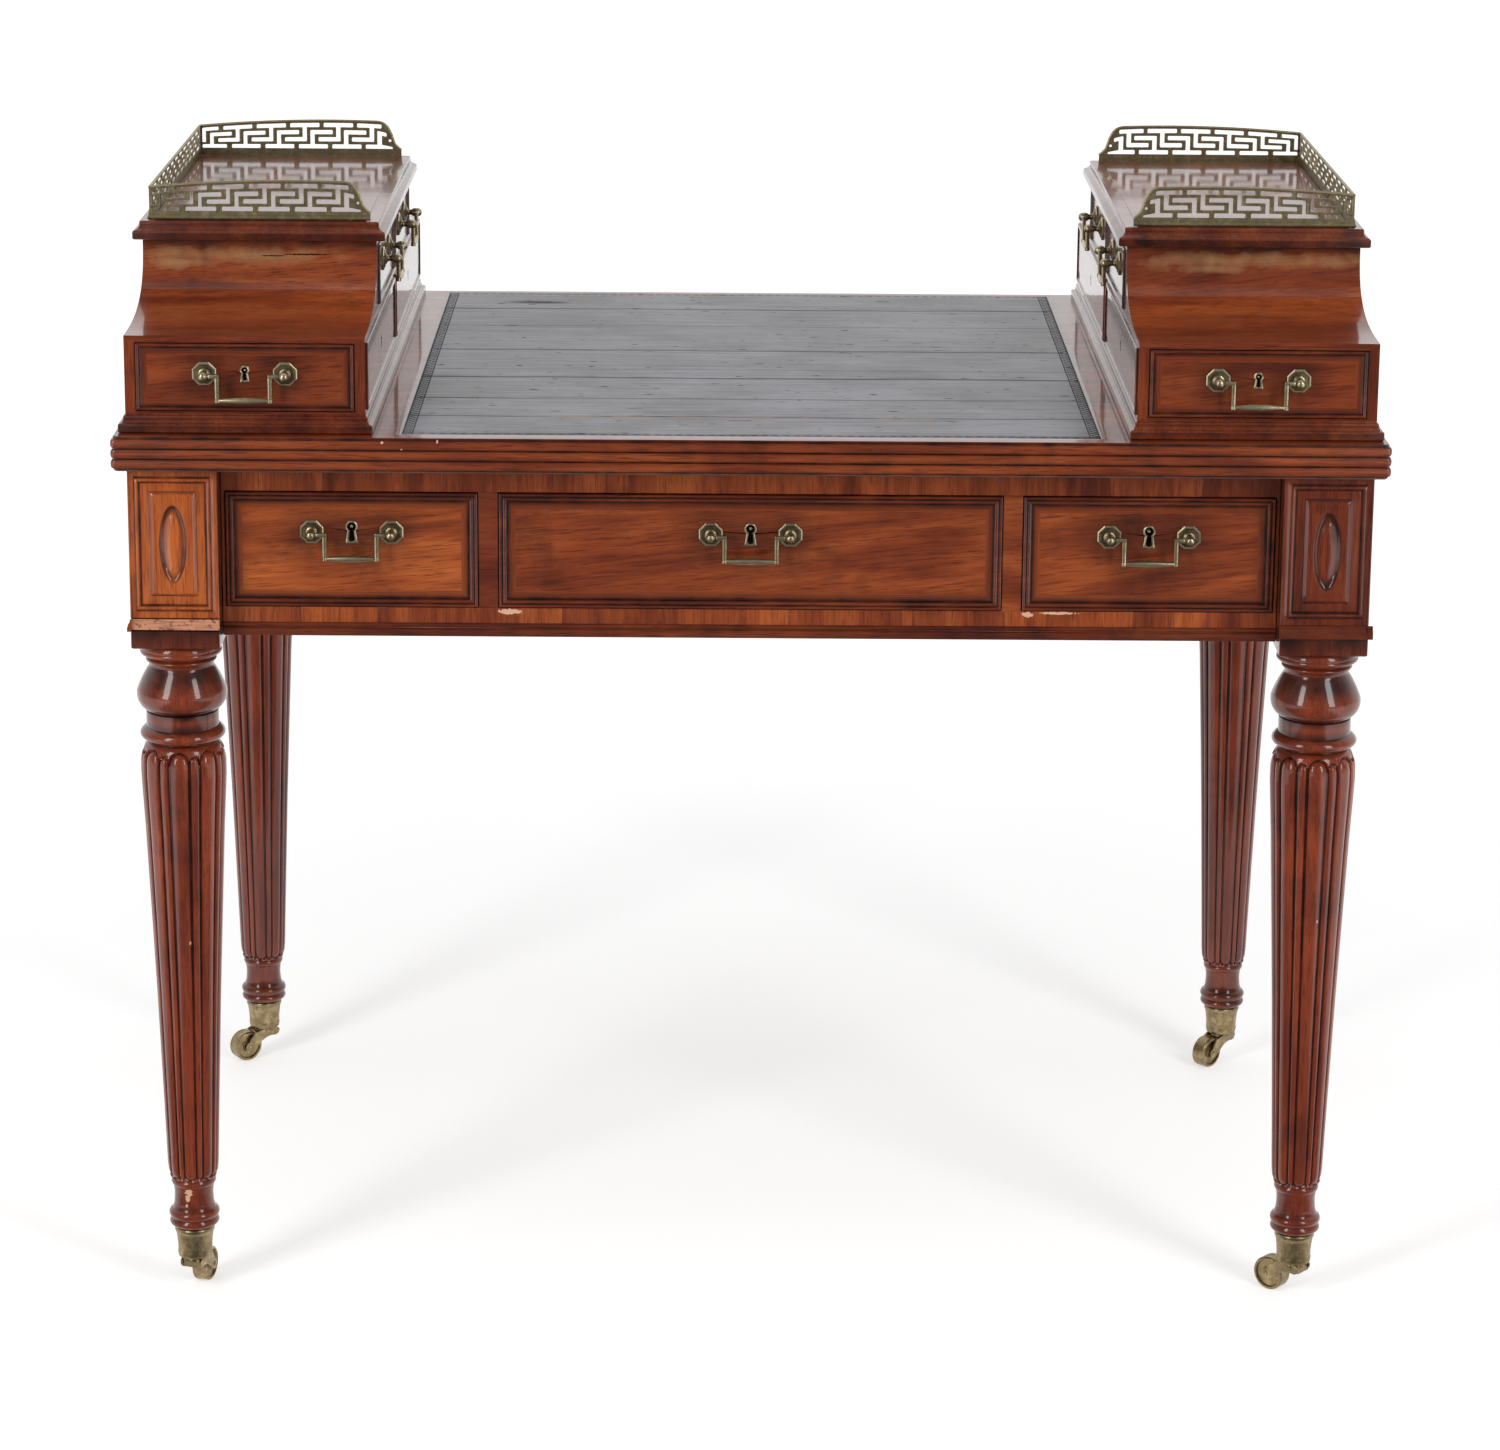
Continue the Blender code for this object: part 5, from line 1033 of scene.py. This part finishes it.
def add_carcass(build, side, sx):
    """Boards round the drawers; the hollow front follows |y|^2.8 + |z|^2.8 = 1 scaled to its run and rise."""
    X, Y, Z, LINING, SHADED_IRON, FIGURED = range(6)
    outer, inner = sx * (CASE_X + HALF_CASE), sx * (CASE_X - HALF_CASE)
    west, east, wall = sx * CASE_X - HALF_CASE, sx * CASE_X + HALF_CASE, sx * 8
    front, behind, back, rear, upper = -330, -312, 330, 312, 186
    low, under, ledge, shoulder = 796.2, 858, 862, 920.2
    front_low, front_high = corners(f"drawer_case_{side}_front")
    near_low, near_high = corners(f"drawer_case_{side}_near")
    left, right = front_low[0] - DRAWER_GAP, front_high[0] + DRAWER_GAP
    build.board((west, front, low), (left, behind, under), Z, tone=0.25, edge=0.1)
    build.board((right, front, low), (east, behind, under), Z, tone=0.16, edge=0.2)
    build.board((left, front, low), (right, behind, front_low[2] - DRAWER_GAP), X, tone=0.15, edge=0.35)
    build.board((left, front, front_high[2] + DRAWER_GAP), (right, behind, under), X, tone=0.2, edge=0.3)
    build.board((west, rear, low), (east, back, under), X, tone=0.3, edge=0.15)
    build.board((west, front, under), (east, back, ledge), X, 1, tone=0.22, edge=0.2)
    # side boards, below and above the ledge
    build.board((outer, behind, low), (outer - wall, rear, under), Y, tone=0.5, edge=0.1)
    build.board((inner, behind, low), (inner + wall, rear, under), Y, tone=0.55, edge=0.1)
    build.board((outer, -upper, ledge), (outer - wall, upper, shoulder), Y, tone=0.6, edge=0.1)
    hole_y, hole_z = near_low[1] - DRAWER_GAP, near_high[2] + DRAWER_GAP
    for y0, y1, z0 in ((-upper, hole_y, ledge), (-hole_y, upper, ledge), (-4.4, 4.4, ledge), (hole_y, -4.4, hole_z),
                       (4.4, -hole_y, hole_z)):
        build.board((inner, y0, z0), (inner + wall, y1, shoulder), Y, tone=0.5, edge=0.25)
    for a, b in (((inner + wall, -4, ledge), (outer - wall, 4, shoulder)),
                 ((inner + sx * 168, -upper, ledge), (inner + sx * 174, upper, shoulder)),
                 ((west + 8.2, -7, low), (east - 8.2, 0, under)),
                 ((west + 8.2, behind, low), (east - 8.2, 310, low + 1.2))):
        build.board(a, b, LINING)
    turn, power = np.linspace(0, math.pi / 2, 40), 2 / 2.8
    y = 326 - (326 - 192) * np.sin(turn) ** power
    z = ledge + (shoulder - ledge) * (1 - np.cos(turn) ** power)
    # painted shade: darker where the hollow meets the ledge, and a painted shadow under the crown moulding at its top
    shade = joined(np.linspace(0.45, 0.05, 10), [0.03] * 27, np.linspace(0.3, 0.8, 3), [0.8, 0.8])
    for sy in (-1, 1):
        outline = joined(np.stack((sy * y, z), 1), [(sy * upper, shoulder), (sy * upper, ledge)])
        build.prism(outline, 0, west, east, FIGURED, Y, tone=0.52 if sx < 0 else 0.6, edge=shade)
    # two blind panels on the inner side: shrinking rectangles round a keyhole
    for sy in (-1, 1):
        rings = [even_ring(157 - d, 28.55 - d, 12) for d in BLIND_STEPS[:, 0]]
        hole = keyhole(6.0, 10.5, 48)
        rings += [rings[-1] * (1 - s) + hole * s for s in (0.4, 0.75, 0.94, 1.0)] + [hole, hole * 0.98]
        heights = joined(BLIND_STEPS[:, 1], [0.9] * 4, [-3.6, -3.8])
        edges = joined(BLIND_STEPS[:, 2], [0.1, 0.15, 0.5, 0.9, 1, 1])
        # the keyhole's walls are drawn dark and its far end is capped with near-black iron, as painted shade inside the
        # hole
        build.shell(facing(rings, heights, (-sx, 0), (inner, sy * 165, 827.15)), 1, SHADED_IRON, tone=0.5 + 0.2 * sy,
                    edge=edges[:, None])


def drawer_list():
    """Each drawer's name, width, height, depth, middle of its face, turn, keyhole size, handle rise and tone."""
    rows = [(f"frieze_{where}", width, 99.2, 540, (x, -312, 675.9), 0.0, (10.2, 19.5), 15.1, tone)
            for where, x, width, tone in (("left", -337.5, 213, 1.08), ("centre", 0.0, 426, 0.62),
                                          ("right", 337.5, 213, 0.78))]
    for side, sx in SIDES:
        rows.append((f"case_{side}_front", 182, 57.1, 320, (sx * CASE_X, -330, 827.15), 0.0, (7.8, 14.0), 3.0,
                     0.42 + 0.05 * sx))
        rows += [(f"case_{side}_{where}", 175, 52.4, 165, (sx * 322.8, sy * 92.5, 888.6), -sx * math.pi / 2, None, 5.0,
                  0.35 + 0.1 * sy) for where, sy in (("near", -1), ("far", 1))]
    return rows


def make_drawers(sizes):
    """The nine drawers, with beaded fronts, linings and keyhole plates."""
    for name, width, height, depth, place, turn, key, rise, tone in drawer_list():
        move = turned(turn, place)
        build = Build()
        bead = (sizes.bead_frame if name.startswith("frieze") else sizes.case_bead_frame) / MM
        add_front(build, width, height, bead, 2 - sizes.field_sink / MM, key, rise, tone)
        add_box(build, width / 2, height / 2, depth)
        face, other, along = ("polished mahogany Y", "X", "Y") if turn else ("figured mahogany X", "Y", "X")
        build.make(f"drawer_front_{name}", take(face, "lock iron", f"planed lining {other}", f"planed lining {along}"),
                   f"drawer_{name}", [f"drawer_{name}"], "mahogany", turn=move, crease=30)
        if key:
            build = Build()
            add_escutcheon(build, key, rise)
            build.make(f"escutcheon_{name}", take("aged brass"), f"drawer_{name}", (), "brass", turn=move)


def add_front(build, width, height, bead, field, key, rise, tone):
    """Rectangles inset by d and set out by h from the face run down the beads, then blend into the keyhole."""
    # (inset, out, dark wax with painted shade in the quirks and the cove); the frieze's double bead is bead, quirk,
    # bead, fall and cove, the cases' is one bead
    steps = [(0.6, -16, 0.6), (0.0, -15, 0.6), (0.0, 0.9, 1.0)]
    if bead < 6:
        steps += [(0.3, 1.5, 0.8), (1.0, 2.0, 0.45), (1.9, 2.0, 0.45), (2.6, 1.5, 0.7), (3.1, 0.4, 1.0),
                  (3.5, field - 0.2, 1.0), (bead, field, 0.7), (6.4, field, 0.3), (10.0, field, 0.1)]
    else:
        steps += [(d * bead / 8.4, h, e) for d, h, e in (
            (0.25, 1.5, 0.7), (0.9, 1.95, 0.35), (1.6, 2.0, 0.35), (2.4, 1.7, 0.7), (2.9, 0.95, 1.0), (3.3, 0.95, 1.0),
            (3.7, 1.6, 0.7), (4.5, 2.0, 0.35), (5.4, 2.0, 0.35), (6.3, 1.5, 0.7), (6.9, 0.4, 1.0),
            (7.3, field - 0.3, 1.0), (8.4, field - 0.2, 0.8), (10.0, field, 0.4), (14.0, field, 0.12))]
    steps, count = np.array(steps), 36
    rings = np.array([even_ring(width / 2 - d, height / 2 - d, count) for d in steps[:, 0]])
    middle = np.array([0.0, rise if key else 0.0])
    hole = keyhole(key[0] - KEY_RIM, key[1] - KEY_RIM, 4 * count) if key else oval_ring(1.0, 1.0, count)
    share = (1 - (1 - np.linspace(0, 1, 18)[1:]) ** 1.4)[:, None, None]
    fill = rings[-1] * (1 - share) + (hole + middle) * share
    # wax and handling darken the wood round both roses
    x, z = fill[..., 0], fill[..., 1] - rise
    halo = sum(np.exp(-(np.hypot(x - sx * 34, z * 1.1) / 27) ** 2) for sx in (-1, 1))
    mid = np.exp(-(np.hypot(x, z + 2) / 26) ** 2)
    # wax and painted shade darken the field along the bead frame
    border = np.exp(-np.minimum(width / 2 - np.abs(x), height / 2 - np.abs(fill[..., 1])) / 7)
    wax_and_shade = np.clip(0.02 + 0.55 * halo + 0.3 * mid + 0.5 * border, 0, 0.75)
    rings = joined(rings, fill, [hole + middle, hole * 0.9 + middle])
    heights = joined(steps[:, 1], [field] * len(fill), [-7.0, -7.2])
    edges = joined(np.repeat(steps[:, 2:], 4 * count, axis=1), wax_and_shade, np.ones((2, 4 * count)))
    # the beads kept their wine red where the field faded
    kept = np.clip((np.arange(len(rings)) - len(steps) + 4) / 3, 0, 1)[:, None]
    last = len(rings) if key else -2
    # a keyhole's walls are drawn fully dark and its far end is capped with near-black iron, as painted shade inside the
    # hole
    build.shell(facing(rings[:last], heights[:last], (0, -1), (0, 0, 0)), 0, 1 if key else 0, edge=edges[:last],
                tone=(0.25 + (tone - 0.25) * kept)[:last])


def add_box(build, w, h, end):
    """Sides, back, bottom and the back of the front, of planed lining."""
    wall, start, across, along = 8, 15.5, 2, 3
    for sx in (-1, 1):
        build.board((sx * w, start, -h), (sx * (w - wall), end, h - 1), across, along)
    build.board((wall - w, end - wall, -h), (w - wall, end, h - 3), along)
    build.board((wall - w, start, 0.5 - h), (w - wall, end - wall, 6 - h), along)
    build.board((0.8 - w, 14, -h), (w - 0.8, 18, h - 0.6), along)


def add_escutcheon(build, key, rise):
    """A thin keyhole-shaped ring, and the round pin of the lock inside it."""
    outer, hole = keyhole(*key, 72, True), keyhole(key[0] - KEY_RIM, key[1] - KEY_RIM, 72)
    levels = np.array([(0.98, -2.7), (1.0, 0.3), (0.9, 0.7), (0.35, 0.8), (0.0, 0.4), (0.0, -1.2), (0.2, -2.7)])
    rings = [outer * (1 - s) + hole * s for s in levels[:, 0]]
    build.shell(facing(rings, levels[:, 1], (0, -1), (0, 0, rise)), ends=False,
                edge=np.array([1, 0.5, 0, 0, 0.1, 0.8, 1])[:, None], wear=0.7)
    radius = key[0] * 0.12
    pin = bowed([(0.02, 6.5), (radius, 6.5), (radius, 0.4), (radius * 0.8, 0.0), (0.02, -0.2)], [0, 0, 0.1, 0.1], 5)
    build.shell(facing(spun(pin, 20), pin[:, 1], (0, 1), (0, 0.6, rise + (key[1] - key[0]) / 2)), wear=0.6)


def make_handles(_sizes):
    """The bails and their posts with octagonal roses."""
    brass = take("aged brass")
    for name, _, _, _, place, turn, _, rise, _ in drawer_list():
        move = turned(turn, place)
        for label, sx in SIDES:
            build = Build()
            add_post(build, sx, rise)
            build.make(f"brass_post_{name}_{label}", brass, f"drawer_{name}", [f"post_{name}_{label}"], "brass",
                       turn=move, crease=28)
        build = Build()
        add_bail(build, rise)
        build.make(f"brass_bail_{name}", brass, f"bail_{name}", [f"bail_{name}"], "brass", turn=move, crease=40)


def add_post(build, sx, rise):
    """A rose of stepped octagons, a waisted neck and a ball with a small nose, all round the post's axis."""
    rose = bowed([(0.2, 0), (10.8, 0), (10.8, 1.2), (9.9, 1.9), (8.4, 1.9), (7.7, 2.7), (5.4, 3.0), (0.2, 3.0)],
                 [0] * 7)
    post = bowed([(0.2, 2.0), (5.0, 2.8), (4.6, 3.8), (2.7, 5.2), (2.5, 7.6), (3.0, 8.6), (3.7, 10.4), (3.9, 13.0),
                  (3.1, 15.9), (1.8, 17.1), (0.05, 17.4)], [0, 0.3, -0.3, -0.2, 0, 0.3, 0.2, 0.4, 0.2, 0.1], 6)
    r = rose[:, 0]
    rose_marks = np.clip(0.95 - 0.06 * r, 0.0, 0.6) * (r < 9.5), 0.85 * (r > 9.5)
    post_marks = np.clip((4.0 - post[:, 0]) * 0.2, 0, 0.45), 0.55 * (post[:, 1] > 9)
    for outline, sides, start, (dark, bright) in ((rose, 8, math.pi / 8, rose_marks), (post, 28, 0.0, post_marks)):
        build.shell(facing(spun(outline, sides, start), outline[:, 1] - 0.2, (0, -1), (sx * 33.75, 0, rise)),
                    edge=dark[:, None], wear=bright[:, None])


def add_bail(build, rise):
    """A tube along the bail's middle line: pins, square shoulders, straight arms and a swollen bar.

    The bar's radius is 1.4 + 1.6 sin(pi s)^0.9 mm at the share s of its length.
    """
    out = -12.8

    def line(points, radii, steps):
        s, i = np.linspace(0, len(points) - 1, steps), np.arange(len(points))
        x, z = (np.interp(s, i, column) for column in np.transpose(points))
        return np.stack((x, np.full(steps, out), z + rise), 1), np.interp(s, i, radii)

    foot = bowed([(0.05, -2.4), (1.9, -2.2), (2.3, -1.2), (2.3, 0.4), (1.6, 1.4), (0.05, 1.4)], [0, 0.2, 0, 0.2, 0], 5)
    for sx in (-1, 1):
        build.shell(tube(*line([(sx * 31.2, 0), (sx * 29.3, 0)], [1.2, 1.2], 3), 12), edge=0.3)
        for points, radii, steps, wear in (([(29.2, 0), (28.0, 0), (20.6, 0)], [1.75, 1.95, 1.85], 7, 0.35),
                                           ([(22, 1.6), (22, -8), (22, -19)], [1.85, 1.8, 1.75], 9, 0.3)):
            build.shell(tube(*line(np.array(points) * (sx, 1), radii, steps), 20, 3.6), wear=wear)
        build.shell(stack((sx * 22, out) + spun(foot, 20), foot[:, 1] + rise - 20.2), wear=0.2)
    s = np.linspace(0, 1, 33)
    path = np.stack((44 * s - 22, np.full(33, out), np.full(33, rise - 20.5)), 1)
    build.shell(tube(path, 1.4 + 1.6 * np.sin(math.pi * s) ** 0.9, 20), wear=0.5)


# Galleries


def crest(share, ramped):
    """The top's height share: an arch 1 - 0.165 ((s - 0.65) / 0.65)^2 that falls in an ogee at a free end."""
    if not ramped:
        return np.full_like(share, LEVEL_CREST)
    arch = 1 - 0.165 * ((share - 0.65) / 0.65) ** 2
    fall = np.interp(share, (0.885, 0.905, 0.925, 0.94, 0.95, 0.958, 0.968, 0.98, 1.0),
                     (1.0, 0.95, 0.90, 0.79, 0.66, 0.49, 0.37, 0.30, 0.21))
    return np.where(share < 0.885, arch, np.minimum(arch, fall))


def fret_holes(length, ramped):
    """The fret's holes: a repeated pair of keys, cut short at the run's ends."""
    count = round(length / FRET_PITCH)
    pitch = length / count
    stile = 0.07 * pitch
    found = []
    for number in range(count):
        for key in (np.array(HANGING_KEY, float), np.array(STANDING_KEY, float)):
            rows = key[:, 1]
            stop = np.full(len(key), length - stile)
            if ramped:
                base = rows if key[0, 1] == 7 else np.where(rows > 1, rows, 0)
                stop = length * np.where(base >= 6, 0.900, np.where(base >= 2, 0.925, 0.955))
            s = np.clip((number + 0.07 + key[:, 0] / 10) * pitch, stile, stop)
            hole = np.stack((s, 7.5 + (GALLERY_TOP * crest(s / length, ramped) - 11) * rows / 7), 1)
            apart = np.linalg.norm(hole - np.roll(hole, 1, axis=0), axis=1) > 0.3
            if apart.sum() > 3:
                found.append(hole[apart])
    if ramped:
        found.append(0.9 * circle(10) + (0.944 * length, 15.0))
    return found


def softened(loop, radius):
    """Each corner becomes the quadratic curve from r before it to r after it."""
    spans = np.roll(loop, 1, axis=0) - loop, np.roll(loop, -1, axis=0) - loop
    reach = np.minimum(radius, 0.45 * np.minimum(*(np.linalg.norm(v, axis=1, keepdims=True) for v in spans)))
    a, b = (loop + unit(v) * reach for v in spans)
    t = np.array([0.0, 0.35, 0.65, 1.0])[:, None]
    return ((1 - t) ** 2 * a[:, None] + 2 * t * (1 - t) * loop[:, None] + t ** 2 * b[:, None]).reshape(-1, 2)


def pierced_run(length, ramped, wall):
    """One pierced run as a flat filled curve with rounded edges, returned as points and faces."""
    share = np.linspace(0, 1, 60) if ramped else np.array([0.0, 1.0])
    # every edge is drawn 0.35 mm into the brass, which opens the slots; the outline is laid out larger for it
    thin, round_off = 0.35, 0.3
    top = np.stack((share * length + thin * (2 * share - 1), 34.0 * crest(share, ramped) + thin), 1)
    outline = joined([(length + thin, 0.4 - thin), (-thin, 0.4 - thin)], top)
    curve = bpy.data.curves.new("fret", "CURVE")
    curve.dimensions, curve.fill_mode, curve.bevel_resolution = "2D", "BOTH", 1
    curve.extrude, curve.bevel_depth = (wall / 2 - round_off) * MM, round_off * MM
    curve.offset = -(round_off + thin) * MM
    for loop in (outline, *(softened(hole, 0.8) for hole in fret_holes(length, ramped))):
        spline = curve.splines.new("POLY")
        spline.points.add(len(loop) - 1)
        spline.points.foreach_set("co", np.column_stack((loop * MM, np.zeros(len(loop)), np.ones(len(loop)))).ravel())
        spline.use_cyclic_u = True
    holder = bpy.data.objects.new("fret", curve)
    bpy.context.scene.collection.objects.link(holder)
    mesh = bpy.data.meshes.new_from_object(holder.evaluated_get(bpy.context.evaluated_depsgraph_get()))
    points = np.empty(len(mesh.vertices) * 3, np.float32)
    mesh.vertices.foreach_get("co", points)
    faces, starts = np.empty(len(mesh.loops), np.int32), np.empty(len(mesh.polygons), np.int32)
    mesh.loops.foreach_get("vertex_index", faces)
    mesh.polygons.foreach_get("loop_start", starts)
    bpy.data.objects.remove(holder)
    bpy.data.curves.remove(curve)
    bpy.data.meshes.remove(mesh)
    return points.reshape(-1, 3).astype(float) / MM, faces, np.diff(np.append(starts, len(faces)))


def make_galleries(sizes):
    """The pierced brass galleries."""
    wall, outer, front = sizes.gallery_wall / MM, 95.0, 186.5
    ramp, level = pierced_run(2 * outer, True, wall), pierced_run(2 * front, False, wall)
    for side, sx in SIDES:
        build = Build()
        floor = corners(f"gallery_{side}")[0][2]
        for which, (points, faces, counts) in (("front", ramp), ("side", level), ("back", ramp)):
            s, z, d = points[:, 0], points[:, 1], wall / 2 - points[:, 2]
            if which == "side":
                x, y = outer - d, (front - d) * (2 * np.clip(s / (2 * front), 0, 1) - 1)
                flip = sx < 0
            else:
                share = np.clip(s / (2 * outer), 0, 1)
                x, y = (outer - d) * (1 - share) - outer * share, (front - d) * (-1 if which == "front" else 1)
                flip = (which == "back") == (sx > 0)
            if flip:
                # a mirrored run has each face's corners turned round
                faces = faces[np.repeat(2 * np.cumsum(counts) - counts - 1, counts) - np.arange(len(faces))]
            build.add(np.stack((sx * (x + CASE_X), y, z + floor), 1), faces, counts, np.zeros(len(counts)),
                      {"edge": 0.04})
        # a rounded rail along the crest and a moulded foot, each carried round three sides of the case's top
        t, inset = np.linspace(0, 1, 61), wall / 2
        x, deep, top = outer - 2 * outer * t, np.full(61, front - inset), GALLERY_TOP * crest(t, True)
        near = np.stack((np.minimum(x, outer - inset), -deep, top), 1)[::-1]
        corner = (outer - inset, front - inset, GALLERY_TOP * LEVEL_CREST)
        rail = joined(near, [corner], np.stack((x, deep, top), 1)[1:])
        rail = (rail + (CASE_X, 0, floor - 1.3)) * (sx, 1, 1)
        build.shell(carried(rail, circle(10) * (1.25, 1.3)), wear=0.45)
        foot = bowed([(-1.0, 0.0), (2.1, 0.0), (2.3, 2.0), (1.5, 3.0), (1.2, 5.6), (1.0, 6.6), (0.3, 7.2), (-0.6, 7.2)],
                     [0, 0.2, 0, 0.1, 0, 0.2, 0], 5)
        path = np.array([(-outer, inset - front), (outer - inset, inset - front), (outer - inset, front - inset),
                         (-outer, front - inset)])
        path = np.column_stack(((path + (CASE_X, 0)) * (sx, 1), np.full(4, floor)))
        build.shell(carried(path, foot * (sx, 1)), edge=0.25)
        build.make(f"brass_gallery_{side}", take("dusty brass"), "desk", [f"gallery_{side}"], "brass", crease=40)


# Steps


class DeskStep(bpy.types.Operator):
    """Makes one group of the desk's pieces."""

    bl_idname = "writing_desk.step"
    bl_label = "Desk step"
    bl_options = {"REGISTER", "UNDO"}

    def execute(self, context):
        self.make(context.scene.writing_desk_sizes)
        return {"FINISHED"}

    def make(self, sizes):
        raise NotImplementedError("each step makes its own pieces")


class MakeStage(DeskStep):
    """Sets the camera, the floor, the lamps and the world."""

    bl_idname, bl_label, make = "writing_desk.make_stage", "Stage", staticmethod(make_stage)


class MakeWritingTop(DeskStep):
    """Makes the slab with its reeded edge and its leather writing surface."""

    bl_idname, bl_label, make = "writing_desk.make_writing_top", "Writing top", staticmethod(make_writing_top)


class MakeFrieze(DeskStep):
    """Makes the frieze: cross-banded rails, aprons, inner boards and the bead along the bottom."""

    bl_idname, bl_label, make = "writing_desk.make_frieze", "Frieze", staticmethod(make_frieze)


class MakeLegs(DeskStep):
    """Makes the four legs: panelled block, turning and reeded shaft."""

    bl_idname, bl_label, make = "writing_desk.make_legs", "Legs", staticmethod(make_legs)


class MakeCasters(DeskStep):
    """Makes the casters: cup, swivelling fork and wheel."""

    bl_idname, bl_label, make = "writing_desk.make_casters", "Casters", staticmethod(make_casters)


class MakeCases(DeskStep):
    """Makes the two raised cases with hollow fronts, moulded bases and moulded tops."""

    bl_idname, bl_label, make = "writing_desk.make_cases", "Cases", staticmethod(make_cases)


class MakeDrawers(DeskStep):
    """Makes the nine drawers, with beaded fronts, linings and keyhole plates."""

    bl_idname, bl_label, make = "writing_desk.make_drawers", "Drawers", staticmethod(make_drawers)


class MakeHandles(DeskStep):
    """Makes the bails and their posts with octagonal roses."""

    bl_idname, bl_label, make = "writing_desk.make_handles", "Handles", staticmethod(make_handles)


class MakeGalleries(DeskStep):
    """Makes the pierced brass galleries."""

    bl_idname, bl_label, make = "writing_desk.make_galleries", "Galleries", staticmethod(make_galleries)


class WritingDeskPanel(bpy.types.Panel):
    """Lists the steps, sizes and colours of the writing desk."""

    bl_idname = "VIEW3D_PT_writing_desk"
    bl_label = "Writing Desk"
    bl_space_type = "VIEW_3D"
    bl_region_type = "UI"
    bl_category = "Writing Desk"

    def draw(self, context):
        for step in STEPS:
            self.layout.operator(step.bl_idname)
        for group in (context.scene.writing_desk_sizes, context.scene.writing_desk_colours):
            box = self.layout.box()
            for name in group.bl_rna.properties.keys():
                if name not in ("rna_type", "name"):
                    box.prop(group, name)


STEPS = (MakeStage, MakeWritingTop, MakeFrieze, MakeLegs, MakeCasters, MakeCases, MakeGalleries, MakeDrawers,
         MakeHandles)
CLASSES = (WritingDeskSizes, WritingDeskColours, *STEPS, WritingDeskPanel)


def register():
    for item in CLASSES:
        bpy.utils.register_class(item)
    bpy.types.Scene.writing_desk_sizes = bpy.props.PointerProperty(type=WritingDeskSizes)
    bpy.types.Scene.writing_desk_colours = bpy.props.PointerProperty(type=WritingDeskColours)


def unregister():
    del bpy.types.Scene.writing_desk_colours
    del bpy.types.Scene.writing_desk_sizes
    for item in reversed(CLASSES):
        bpy.utils.unregister_class(item)


def main():
    """Makes every piece in order."""
    register()
    for step in STEPS:
        group, name = step.bl_idname.split(".")
        getattr(getattr(bpy.ops, group), name)()


if __name__ == "__main__":
    main()
